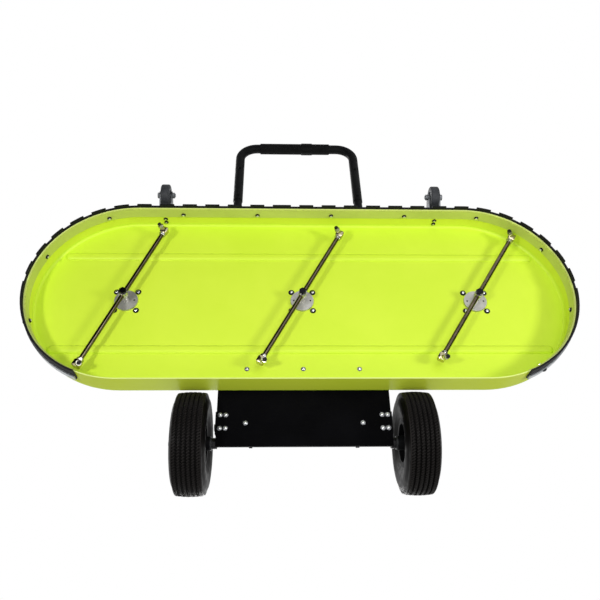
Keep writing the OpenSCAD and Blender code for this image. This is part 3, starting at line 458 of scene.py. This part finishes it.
def put(name, points, closed, body, material, stands_for=(), smooth=40):
    """Writes grids of points, one per copy, as one mesh of quads. closed says which of a grid's two ways
    joins its last line to its first. Points that fall together, as at a pole, are merged, and the faces are
    turned outwards. Edges sharper than smooth, in degrees, stay sharp."""
    points = np.asarray(points, float)
    copies, rows, cols = points.shape[:3]
    i = np.arange(rows if closed[0] else rows - 1)[:, None]
    j = np.arange(cols if closed[1] else cols - 1)[None, :]
    a = i * cols + j
    b = i * cols + (j + 1) % cols
    c = (i + 1) % rows * cols + (j + 1) % cols
    d = (i + 1) % rows * cols + j
    one = np.stack([a, b, c, d], -1).reshape(-1, 4)
    faces = (one[None] + (np.arange(copies) * rows * cols)[:, None, None]).reshape(-1, 4)
    mesh = bpy.data.meshes.new(name)
    mesh.from_pydata((points.reshape(-1, 3) * MM).tolist(), [], faces.tolist())
    work = bmesh.new()
    work.from_mesh(mesh)
    bmesh.ops.remove_doubles(work, verts=work.verts, dist=SAME_POINT)
    bmesh.ops.dissolve_degenerate(work, edges=work.edges, dist=NO_LENGTH)
    bmesh.ops.recalc_face_normals(work, faces=work.faces)
    work.to_mesh(mesh)
    work.free()
    mesh.shade_smooth()
    mesh.set_sharp_from_angle(angle=math.radians(smooth))
    mesh.materials.append(material)
    piece = bpy.data.objects.new(name, mesh)
    bpy.context.scene.collection.objects.link(piece)
    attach(piece, body)
    if stands_for:
        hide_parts(*stands_for)
    return piece


def turned(rings, steps=48):
    """Points of a turned piece about Z. Each ring is a height and a radius, and may add a hexagon and a
    thread. With a hexagon, the radius is the smaller of its own and hexagon / cos(angle to the nearest
    flat's middle). With a thread, that much of a triangle wave, which climbs 1 mm in a turn, is added."""
    rows = np.array([(*ring, *[0] * (4 - len(ring))) for ring in rings], float)
    height, radius, hexagon, thread = rows.T[:, :, None]
    angle = np.linspace(0, 2 * np.pi, steps, endpoint=False)[None, :]
    to_flat = (angle + np.pi / 6) % (np.pi / 3) - np.pi / 6
    flats = np.where(hexagon > 0, hexagon / np.cos(to_flat), np.inf)
    wave = np.abs((height - angle / (2 * np.pi)) % 1 - 0.5) * 2 - 0.5
    r = np.where(radius > 0, np.minimum(radius, flats) + thread * wave, 0)
    return np.stack([r * np.cos(angle), r * np.sin(angle), height + 0 * angle], -1)


def seat(points, origins, axes):
    """Copies of points with their Z laid along an axis, one for all or one each, and their zero at each
    origin: p = origin + x u + y v + z w, where w is the axis and u and v are square to it."""
    origins = np.asarray(origins, float)
    w = np.broadcast_to(np.asarray(axes, float), origins.shape)
    w = w / np.linalg.norm(w, axis=-1, keepdims=True)
    upright = np.abs(w[:, 2:3]) > 0.9
    aside = np.where(upright, X_AXIS, UP)
    u = np.cross(aside, w)
    u = u / np.linalg.norm(u, axis=-1, keepdims=True)
    v = np.cross(w, u)
    basis = np.stack([u, v, w], 1)
    return np.einsum("rcx,kxy->krcy", points, basis) + origins[:, None, None, :]


def grid_of(xs, ys, z):
    """All pairs of the two lists of X and Y, at one height."""
    x, y = np.meshgrid(xs, ys)
    return np.stack([x.ravel(), y.ravel(), np.full(x.size, float(z))], -1)


def on_wall(along, radius, z):
    """Places and outward directions at a distance along the wall from its middle: straight up to the end
    arc's start, then turning by the rest divided by the wall's radius."""
    side = np.sign(along)
    turn = np.maximum(np.abs(along) - END_X, 0) / WALL_R
    out = np.stack([side * np.sin(turn), np.cos(turn), 0 * turn], -1)
    base = np.stack([side * np.minimum(np.abs(along), END_X), 0 * turn + ROW_Y, 0 * turn + z], -1)
    return base + out * radius, out


def on_handle(x, along, rise):
    """Points on the handle at its low stop: the pivot, plus x across, a length along the legs, and a rise."""
    x, along, rise = np.broadcast_arrays(np.asarray(x, float), along, rise)
    return PIVOT + x[..., None] * X_AXIS + along[..., None] * ALONG + rise[..., None] * RISING


# Bolts. A bolt's sizes are its diameter, the thickness of its work, the near hexagon's height with its
# washer, the far nut's height, and the length of screw past it.


def bolt(d, grip, head, nut, stub):
    """Rings of a bolt through its work: under the seat at zero a washer and a chamfered hexagon with the
    screw's domed end, then a plain shank, a washer and a chamfered nut at the far end, and a threaded stub.
    Heights are shares of the near hexagon's, and radii are shares of the diameter or of the flat."""
    flat = d * 0.83
    corner = flat * 1.13
    disc = d * 1.02
    top = grip + nut
    thread = np.linspace(0, 1, 13)[1:]
    return [
        (-head, 0),
        (-head * 0.97, d * 0.3),
        (-head * 0.9, d * 0.44),
        (-head * 0.68, d * 0.47),
        (-head * 0.74, flat * 0.86, flat),
        (-head * 0.6, corner, flat),
        (-head * 0.24, corner, flat),
        (-head * 0.24, disc),
        (0, disc),
        (0, d / 2),
        (grip, d / 2),
        (grip, disc),
        (grip + head * 0.25, disc),
        (grip + head * 0.25, corner, flat),
        (top - head * 0.2, corner, flat),
        (top, flat * 0.9, flat),
        (top, d / 2),
        *[(top + stub * t, d / 2 * (0.98 - 0.18 * max(t - 0.8, 0)), 0, d * 0.05) for t in thread],
        (top + stub, 0),
    ]


def fasteners(name, sets, body, material, stands_for=()):
    """One piece for all bolts of a CAD node. Each set gives a bolt's sizes, places and directions."""
    grids = [seat(turned(bolt(*sizes)), places, axes) for sizes, places, axes in sets]
    return put(name, np.concatenate(grids), (False, True), body, material, stands_for)


def screw_ends(name, sets, body):
    """The domed ends of the same bolts' screws, which stand a little out of their nuts, drawn bright as a
    painted highlight. The dome's rings are shares of the near hexagon's height and of the diameter."""
    dome = ((1.04, 0), (1.02, 0.26), (0.96, 0.4), (0.86, 0.48), (0.6, 0.48), (0.6, 0))
    grids = [
        seat(turned([(-head * z, d * r) for z, r in dome]), places, axes)
        for (d, _, head, _, _), places, axes in sets
    ]
    return put(name, np.concatenate(grids), (False, True), body, SCREW_END_PAINTED_HIGHLIGHT)


BOTH_WAYS = np.array([-1, 1])

# Skirt bolts, evenly spaced along the wall and shifted to one side. Their domed ends inside have a size of
# their own.
CLEARANCE = 0.15
SKIRT_BOLT = (6, STRIP_OUT - BAND_IN + 2 * CLEARANCE, 3.5, 4, 2)
SKIRT_BOLT_END = (8.6, 0, 6.4, 0, 0)
SKIRT_BOLT_Z = middle("skirt_bolts")[2]
SKIRT_PITCH = 213.0
SKIRT_SHIFT = 19.5
SKIRT_REACH = 1171.0
along = (np.arange(-6, 6) + 0.5) * SKIRT_PITCH + SKIRT_SHIFT
along = along[np.abs(along) < SKIRT_REACH]
outside, outward = on_wall(along, STRIP_OUT + CLEARANCE, SKIRT_BOLT_Z)
inside, outward = on_wall(along, BAND_IN - CLEARANCE, SKIRT_BOLT_Z)
# The skirt bolts are drawn in black oxide, as painted shade round their bright ends.
fasteners("skirt_screws", [(SKIRT_BOLT, outside, -outward)], "chassis", BLACK_OXIDE, ["skirt_bolts"])
screw_ends("skirt_screw_ends", [(SKIRT_BOLT_END, inside, outward)], "chassis")

# Swivel bolts, in a square about each shaft
SWIVEL_BOLT = (8, 11, 4.5, 6, 1.5)
SWIVEL_SQUARE = 58.6
square = BOTH_WAYS * SWIVEL_SQUARE / 2
places = np.concatenate([grid_of(x + square, ROW_Y + square, CEILING_Z) for x in ROTOR_X])
swivel_set = [(SWIVEL_BOLT, places, UP)]
# The swivel bolts are drawn in black oxide, as painted shade round their bright ends.
fasteners("swivel_screws", swivel_set, "chassis", BLACK_OXIDE, ["swivel_bolts"])
screw_ends("swivel_screw_ends", swivel_set, "chassis")

# Chassis bolts: three through the pan and the plate, four under each clevis and one under each hanger
DECK_BOLT = (6, 9, 4, 5, 1)
DECK_BOLT_Y = ROW_Y - 206
PLATE_BOLT = (6, 10, 4, 5, 1)
CLEVIS_X = middle("clevis_left")[0]
CLEVIS_BOLTS_X = 7
CLEVIS_BOLTS_Y = 17.5
HANGER_X = middle("hanger_left")[0]
HANGER_BOLT_Y = PIVOT[1] - 4
clevis_x = [side * CLEVIS_X + off for side in BOTH_WAYS for off in BOTH_WAYS * CLEVIS_BOLTS_X]
clevis_y = PIVOT[1] + BOTH_WAYS * CLEVIS_BOLTS_Y
chassis_set = [
    (DECK_BOLT, grid_of([-HANGER_X, 0, HANGER_X], [DECK_BOLT_Y], CEILING_Z), UP),
    (PLATE_BOLT, grid_of(clevis_x, clevis_y, DECK_Z), UP),
    (PLATE_BOLT, grid_of([-HANGER_X, HANGER_X], [HANGER_BOLT_Y], DECK_Z), UP),
]
fasteners("chassis_screws", chassis_set, "chassis", BOLT_ZINC_PAINTED_SHADE, ["chassis_bolts"])
screw_ends("chassis_screw_ends", chassis_set, "chassis")

# Gauge-wheel bracket bolts, two above each other through the rear wall
GAUGE_BOLT = (6, 7.1, 4, 5, 1.5)
GAUGE_BOLTS_Z = (77, 62)
GAUGE_X = middle("gauge_tyre_left")[0]
inner_wall = ROW_Y + WALL_R - SHEET
places = np.concatenate([grid_of([-GAUGE_X, GAUGE_X], [inner_wall], z) for z in GAUGE_BOLTS_Z])
gauge_set = [(GAUGE_BOLT, places, BACKWARD)]
# The gauge bolts are drawn in black oxide, as painted shade round their bright ends.
fasteners("gauge_screws", gauge_set, "chassis", BLACK_OXIDE, ["gauge_bolts"])
screw_ends("gauge_screw_ends", gauge_set, "chassis")

# Splice bolts, two through each side of the handle's loop
SPLICE_GAP = 0.1
SPLICE_BOLT = (6, 2 * (LOOP_R + SPLICE_GAP), 3.5, 5, 1)
SPLICE_ALONG = (881.0, 1021.0)
under_loop = -LOOP_R - SPLICE_GAP
places = np.concatenate([on_handle([CLEVIS_X, -CLEVIS_X], a, under_loop) for a in SPLICE_ALONG])
fasteners("splice_screws", [(SPLICE_BOLT, places, RISING)], "handle", BLACK_STEEL, ["splice_bolts"])


# Front wheels


def tyre_points():
    """A tyre about Z as a function of its section's length and of the turn. The section runs from the inner
    bead up one sidewall, over the tread and down the other, and back along the inside. The sidewall bulges
    by part of a sine and has two moulded rings, and the tread is crowned by the square of its place across.
    Five grooves are cut where the place across is near a line that zigzags with the turn, and slanted sipes
    where the turn plus the place across, in teeth, has a small fraction."""
    turns, teeth, ribs = 560, 112, 6
    bead, bead_seat, shoulder, bulge = 60.3, 51.1, 118.0, 13
    groove_half, groove_slope, groove_depth, sway = 1.7, 0.9, 3.4, 0.9
    sipe_share, sipe_from, sipe_to, sipe_depth = 0.4, 1.4, 4.9, 2.4
    ring_width = 0.03
    outer_groove = 2.4
    tread_from = TYRE_R - 6
    edge = TREAD_HALF
    t = np.linspace(0, 1, 22)
    side_r = bead + (shoulder - bead) * t
    side_w = TYRE_HALF - bulge + bulge * np.sin(np.radians(150) * t)
    for ring_at, ring_rise in ((0.28, 0.7), (0.82, 0.5)):
        side_w = side_w + ring_rise * np.exp(-(((t - ring_at) / ring_width) ** 2))
    bend = np.radians(np.linspace(8, 82, 5))
    bend_r = shoulder + (TYRE_R - CROWN - shoulder) * np.sin(bend)
    bend_w = edge + (side_w[-1] - edge) * np.cos(bend)
    across = np.linspace(edge, -edge, 85)
    tread_r = TYRE_R - CROWN * (across / edge) ** 2
    inner_r = np.array([bead_seat, bead_seat, 70, 90, 108])
    inner_w = np.array([30, 22, 30, 33, 27.0])
    r = np.concatenate([side_r, bend_r, tread_r, bend_r[::-1], side_r[::-1], inner_r, inner_r[::-1]])
    w = np.concatenate([side_w, bend_w, across, -bend_w[::-1], -side_w[::-1], -inner_w, inner_w[::-1]])
    angle = np.linspace(0, 2 * np.pi, turns, endpoint=False)[None, :]
    r = r[:, None] + 0 * angle
    w = w[:, None] + 0 * angle
    on_tread = (r > tread_from) & (np.abs(w) < edge + 1)
    tooth = angle / (2 * np.pi) * teeth
    zigzag = np.abs(tooth % 1 - 0.5) * 4 - 1
    rib = 2 * edge / ribs
    line = w + sway * zigzag
    off = (line / rib) % 1
    off = np.minimum(off, 1 - off) * rib
    groove = np.clip((groove_half - off) / groove_slope, 0, 1) * (np.abs(line) < outer_groove * rib)
    sipe = ((tooth + w / rib) % 1 < sipe_share) & (off < sipe_to) & (off > sipe_from)
    r = r - np.where(on_tread, np.maximum(groove_depth * groove, sipe_depth * sipe), 0)
    return np.stack([r * np.cos(angle), r * np.sin(angle), w], -1)


for side, _ in SIDES:
    tyre = seat(tyre_points(), [middle(f"tyre_{side}")], X_AXIS)
    put(
        f"treaded_tyre_{side}", tyre, (True, True), f"wheel_{side}", TREAD_RUBBER,
        [f"tyre_{side}"], smooth=32,
    )

# Five bolts through each rim's disc, and a valve that leans out of it
RIM_BOLT = (6, 6.2, 4, 5, 2)
RIM_BOLT_R = 28.0
RIM_BOLT_COUNT = 5
RIM_DISC = 3.1
VALVE_R = 43
VALVE_OUT = 15.2
VALVE_LEAN = 0.2
VALVE = [
    (0, 0), (0, 6), (2, 5.6), (6, 4), (14, 3.6), (14.2, 2.9), (15, 2.9),
    (15.2, 3.9), (22, 3.9), (23.6, 3), (24, 0),
]
turns = 2 * np.pi * np.arange(RIM_BOLT_COUNT) / RIM_BOLT_COUNT
spokes = np.stack([0 * turns, np.cos(turns), np.sin(turns)], -1)
stem = np.array([0, 0.6, -0.8])
for side, sign in SIDES:
    wheel = f"wheel_{side}"
    centre = middle(f"rim_{side}")
    out = sign * X_AXIS
    bolts = centre + RIM_BOLT_R * spokes + RIM_DISC * out
    fasteners(f"rim_screws_{side}", [(RIM_BOLT, bolts, -out)], wheel, BOLT_ZINC_PAINTED_SHADE)
    foot = centre + VALVE_R * stem + VALVE_OUT * out
    valve = seat(turned(VALVE), [foot], out - VALVE_LEAN * stem)
    put(f"tyre_valve_{side}", valve, (False, True), wheel, TIP_NYLON)


# Front axle and its lock nuts, which stand on the wheels' bushes

AXLE_R = 8.0
AXLE_CHAMFER = 1.2
NUT_SEAT = 49.5
NUT_TO_END = 8.4
LOCK_NUT = [
    (0, 8.05), (0, 14.5), (2, 14.5), (2, 13.2, 12), (2.6, 13.9, 12), (5.4, 13.9, 12),
    (6.2, 12.9, 12), (6.4, 10.4), (7.4, 10), (7.6, 8.05),
]
axle_end = HALF_TRACK + NUT_SEAT + NUT_TO_END
rod = [(-axle_end, 0), (-axle_end, AXLE_R - AXLE_CHAMFER), (-axle_end + AXLE_CHAMFER, AXLE_R)]
rod = rod + [(-h, r) for h, r in rod[::-1]]
axle = seat(turned(rod), [AXLE], X_AXIS)
put("turned_axle", axle, (False, True), "chassis", DARK_ZINC, ["axle"])
outwards = np.array([sign * X_AXIS for _, sign in SIDES])
nuts = seat(turned(LOCK_NUT), AXLE + outwards * (HALF_TRACK + NUT_SEAT), outwards)
put("axle_lock_nuts", nuts, (True, True), "chassis", BLACK_OXIDE, ["axle_nuts"])


# Black discs in the glands' spanner holes: painted shade for the holes' dark insides

PIT = [(0.5, 0), (0.5, 2.45), (2.5, 2.45), (2.5, 0)]
PIT_R = 22.68
places = np.concatenate([grid_of(x + BOTH_WAYS * PIT_R, [ROW_Y], GLAND_LOW) for x in ROTOR_X])
put("gland_pits_painted_shade", seat(turned(PIT), places, UP), (False, True), "chassis", BLACK_OXIDE)


# Rotors' elbows, nozzles, nuts and shaft collars. A nozzle's rings run along its aim and a nut's along the
# bar, both from the elbow's middle, and a collar's run up from the bar.

NOZZLE = [
    (7, 0), (7, 4.3), (16.1, 4.3), (16.1, 7.3, 6.93), (16.9, 8, 6.93), (20.8, 8, 6.93),
    (21.6, 7.2, 6.93), (21.8, 5), (22.6, 5), (22.8, 5.5), (24.6, 5.5), (24.6, 0),
]
TIP = [(24.6, 0), (24.6, 5.4), (28, 5.4), (29, 4.6), (29, 1.6), (26.4, 1.2), (26.4, 0)]
# An elbow's two round necks: the socket round the bar's end, and the spout that the nozzle screws into
SOCKET = [(0, 0), (0, 8), (17.4, 8), (17.95, 7.4), (17.95, 6.4), (17.95, 0)]
SPOUT = [(0, 0), (0, 7), (15.4, 7), (16, 6.4), (16, 4.4), (16, 0)]
BAR_NUT = [
    (12.05, 8.05), (12.05, 9.2, 8.7), (12.7, 10, 8.7), (17, 10, 8.7), (17.7, 9.2, 8.7),
    (17.9, 8.2), (19.4, 8.2), (20, 6.4), (18.1, 6.4), (18.1, 8.05),
]
COLLAR = [
    (9.1, 8.05), (9.1, 10.4, 9.6), (9.6, 10.8, 9.6), (14, 10.8, 9.6), (14.5, 10.2, 9.6), (14.6, 9),
    (17, 9), (17.2, 10), (18.6, 10), (18.8, 8.8), (26, 8.8), (26.4, 8.05),
]


def elbow_block():
    """Points of an elbow's forged block: a plan with its corners cut at 45 degrees, carried up from below
    the bar to its top. Each end is drawn in by the chamfer, along the lines to the plan's middle, and
    closed to a point there."""
    half, back, front, cut, chamfer = 9.95, 11.95, 8.0, 3.0, 1.2
    low, high = -9.95, 8.0
    plan = np.array(
        [
            (half, cut - back), (half, front - cut), (half - cut, front), (cut - half, front),
            (-half, front - cut), (-half, cut - back), (cut - half, -back), (half - cut, -back),
        ]
    )
    centre = np.array([0, (front - back) / 2])
    drawn_in = 1 - chamfer / half
    share = np.array([0, drawn_in, 1, 1, drawn_in, 0])[:, None, None]
    z = np.array([low, low, low + chamfer, high - chamfer, high, high])[:, None, None]
    flat = centre + share * (plan - centre)
    return np.concatenate([flat, z + 0 * flat[..., :1]], -1)


for side, x, turn in zip(ROTORS, ROTOR_X, TURNS):
    rotor = f"rotor_{side}"
    hub = np.array([x, ROW_Y, BAR_Z])
    bar = np.array([-math.sin(turn), math.cos(turn), 0])
    across = np.array([math.cos(turn), math.sin(turn), 0])
    ends = np.array([hub + REACH * bar, hub - REACH * bar])
    inward = [-bar, bar]
    aims = [s * math.sin(TILT) * across - math.cos(TILT) * UP for s in (1, -1)]
    bases = [np.array([s * across, s * bar, UP]) for s in (1, -1)]
    blocks = [elbow_block() @ basis + end for basis, end in zip(bases, ends)]
    put(f"elbow_blocks_{side}", blocks, (False, True), rotor, PLATED_BRASS, [f"elbows_{side}"])
    necks = np.concatenate([seat(turned(SOCKET), ends, inward), seat(turned(SPOUT), ends, aims)])
    put(f"elbow_necks_{side}", necks, (False, True), rotor, PLATED_BRASS)
    nozzles = seat(turned(NOZZLE), ends, aims)
    put(
        f"ringed_nozzles_{side}", nozzles, (False, True), rotor, NOZZLE_STEEL,
        [f"nozzles_{side}"],
    )
    tips = seat(turned(TIP), ends, aims)
    put(f"nozzle_tips_{side}", tips, (False, True), rotor, TIP_NYLON)
    bar_nuts = seat(turned(BAR_NUT), ends, inward)
    put(f"bar_nuts_{side}", bar_nuts, (True, True), rotor, BRIGHT_STEEL)
    collar = seat(turned(COLLAR), [hub], UP)
    put(f"shaft_collar_{side}", collar, (True, True), rotor, BRIGHT_STEEL)


# Foam grip

GRIP_R = 19.0
GRIP_BORE = 16.1
GRIP_EDGE = 2.5
GRIP_STEPS = 64
GRIP_LOW, GRIP_HIGH = (corner[0] for corner in corners("grip"))
GRIP_HALF = (GRIP_HIGH - GRIP_LOW) / 2
GRIP_X = (GRIP_HIGH + GRIP_LOW) / 2
edge_turn = np.radians(np.linspace(0, 90, 6))
edge_h = GRIP_HALF - GRIP_EDGE + GRIP_EDGE * np.sin(edge_turn)
edge_r = GRIP_R - GRIP_EDGE + GRIP_EDGE * np.cos(edge_turn)
heights = np.concatenate([[-GRIP_HALF], -edge_h[::-1], edge_h, [GRIP_HALF, -GRIP_HALF]])
radii = np.concatenate([[GRIP_BORE], edge_r[::-1], edge_r, [GRIP_BORE, GRIP_BORE]])
foam = seat(turned(list(zip(heights, radii)), GRIP_STEPS), [on_handle(GRIP_X, LOOP_ALONG, 0.0)], X_AXIS)
grip = put("foam_grip", foam, (False, True), "handle", FOAM, ["grip"])


# Stage, in metres


def stage_quads(name, quads, material):
    """A flat piece of the stage from lists of four corners."""
    mesh = bpy.data.meshes.new(name)
    faces = np.arange(4 * len(quads)).reshape(-1, 4).tolist()
    mesh.from_pydata([corner for quad in quads for corner in quad], [], faces)
    mesh.materials.append(material)
    piece = bpy.data.objects.new(name, mesh)
    bpy.context.scene.collection.objects.link(piece)


def pale_floor():
    """A plain pale floor that shows only from above, so that the camera below it sees the working side, and
    that fades to white with the distance from the part."""
    half = 30.0
    fade_from, fade_to = 1.1, 3.2
    material, tree = empty_material("plain_pale_floor")
    camera_ray = add(tree, "ShaderNodeLightPath").outputs["Is Camera Ray"]
    behind = add(tree, "ShaderNodeNewGeometry").outputs["Backfacing"]
    shown = add(tree, "ShaderNodeMath", {0: camera_ray, 1: behind}, operation="SUBTRACT", use_clamp=True)
    clear = add(tree, "ShaderNodeBsdfTransparent")
    pale = add(tree, "ShaderNodeBsdfDiffuse", {"Color": linear("#e6e6e4")})
    white = add(tree, "ShaderNodeEmission", {"Color": linear("#ffffff"), "Strength": 1.0})
    place = add(tree, "ShaderNodeTexCoord")
    far = add(tree, "ShaderNodeVectorMath", {0: place.outputs["Object"]}, operation="LENGTH")
    span = {"Value": far.outputs["Value"], "From Min": fade_from, "From Max": fade_to}
    fade = add(tree, "ShaderNodeMapRange", span, interpolation_type="SMOOTHSTEP")
    faded = add(tree, "ShaderNodeMixShader", {0: fade.outputs[0], 1: pale.outputs[0], 2: white.outputs[0]})
    mixed = add(tree, "ShaderNodeMixShader", {0: shown.outputs[0], 1: clear.outputs[0], 2: faded.outputs[0]})
    add(tree, "ShaderNodeOutputMaterial", {"Surface": mixed.outputs[0]})
    stage_quads("floor", [[(-half, -half, 0), (half, -half, 0), (half, half, 0), (-half, half, 0)]], material)


def dark_cards():
    """Three dark cards, behind, beside and under the part and seen only in reflections, which give the
    polished bars their dark sides."""
    behind = [(0.7, 2.5, -10), (6, 2.5, -10), (6, 2.5, -0.25), (0.7, 2.5, -0.25)]
    beside = [(-2.5, -1.0, -1.8), (-2.5, 1.4, -1.8), (-2.5, 1.4, -0.05), (-2.5, -1.0, -0.05)]
    under = [(0.05, -0.1, -1.0), (3, -0.1, -1.0), (3, 2.5, -1.0), (0.05, 2.5, -1.0)]
    material, tree = empty_material("black_studio_cards")
    glossy_ray = add(tree, "ShaderNodeLightPath").outputs["Is Glossy Ray"]
    clear = add(tree, "ShaderNodeBsdfTransparent")
    black = add(tree, "ShaderNodeBsdfDiffuse", {"Color": linear("#080808")})
    mixed = add(tree, "ShaderNodeMixShader", {0: glossy_ray, 1: clear.outputs[0], 2: black.outputs[0]})
    add(tree, "ShaderNodeOutputMaterial", {"Surface": mixed.outputs[0]})
    stage_quads("dark_cards", [behind, beside, under], material)


def white_room():
    """A white room for the camera, reflections and glass, which lights the part at a third of that."""
    world = bpy.data.worlds.new("studio")
    bpy.context.scene.world = world
    world.use_nodes = True
    tree = world.node_tree
    tree.nodes.clear()
    rays = add(tree, "ShaderNodeLightPath").outputs
    direct = {0: rays["Is Camera Ray"], 1: rays["Is Glossy Ray"]}
    seen = add(tree, "ShaderNodeMath", direct, operation="MAXIMUM")
    with_glass = {0: seen.outputs[0], 1: rays["Is Transmission Ray"]}
    seen = add(tree, "ShaderNodeMath", with_glass, operation="MAXIMUM")
    room = add(tree, "ShaderNodeBackground", {"Color": linear("#ffffff"), "Strength": 0.32})
    white = add(tree, "ShaderNodeBackground", {"Color": linear("#ffffff"), "Strength": 1.0})
    mixed = add(tree, "ShaderNodeMixShader", {0: seen.outputs[0], 1: room.outputs[0], 2: white.outputs[0]})
    add(tree, "ShaderNodeOutputWorld", {"Surface": mixed.outputs[0]})


def studio_lamps():
    """Round lamps, each with a place, an aim, a size and a power in watts. Two from the sides draw the
    bars' shadows on the working side, two soft ones fill it, and two light the rest from above."""
    working_side = (0.0, -0.15, 0.09)
    top = (0.0, 0.0, 0.1)
    lamps = (
        ("lamp_low_left", (1.25, -1.0, -1.9), working_side, 0.25, 18),
        ("lamp_low_right", (-2.0, -0.9, -1.6), working_side, 0.45, 22),
        ("lamp_low_front", (0.0, -2.0, -1.6), working_side, 1.0, 5),
        ("lamp_below", (-0.45, -0.4, -1.9), (-0.1, 0.0, 0.09), 1.4, 13),
        ("lamp_high_front", (0.0, -0.9, 3.4), top, 1.6, 50),
        ("lamp_high_back", (2.0, 2.2, 2.4), top, 1.6, 55),
    )
    for name, place, aim, size, power in lamps:
        data = bpy.data.lights.new(name, "AREA")
        data.shape = "DISK"
        data.size = size
        data.energy = power
        lamp = bpy.data.objects.new(name, data)
        lamp.location = place
        lamp.rotation_mode = "QUATERNION"
        lamp.rotation_quaternion = (Vector(aim) - Vector(place)).to_track_quat("-Z", "Y")
        bpy.context.scene.collection.objects.link(lamp)


def photo_camera():
    """The photograph's viewpoint, in front of the part and below the ground it stands on. Its three turns
    are those of the working side against the picture, its place is from the rotor row's middle on the
    ground, in millimetres, and the focal length is in pixels of a 600-pixel picture."""
    turn_x, turn_y, turn_z = -0.5597, -0.0326, 0.0027
    focal, picture, sensor = 672.51, 600, 36
    from_row = np.array([66.04, -978.65, -1480.75])
    c, s = np.cos([turn_x, turn_y, turn_z]), np.sin([turn_x, turn_y, turn_z])
    rx = np.array([[1, 0, 0], [0, c[0], -s[0]], [0, s[0], c[0]]])
    ry = np.array([[c[1], 0, s[1]], [0, 1, 0], [-s[1], 0, c[1]]])
    rz = np.array([[c[2], -s[2], 0], [s[2], c[2], 0], [0, 0, 1]])
    right, down, ahead = rz @ ry @ rx @ np.diag([1, -1, -1]) @ np.diag([-1, 1, -1])
    place = (from_row + [0, ROW_Y, 0]) * MM
    data = bpy.data.cameras.new("photo_camera")
    data.sensor_width = sensor
    data.lens = focal * sensor / picture
    camera = bpy.data.objects.new("photo_camera", data)
    turn = Matrix([[right[i], -down[i], -ahead[i]] for i in range(3)])
    camera.matrix_world = Matrix.Translation(Vector(place)) @ turn.to_4x4()
    bpy.context.scene.collection.objects.link(camera)
    bpy.context.scene.camera = camera


pale_floor()
dark_cards()
white_room()
studio_lamps()
photo_camera()
bpy.context.scene.view_settings.view_transform = "Standard"
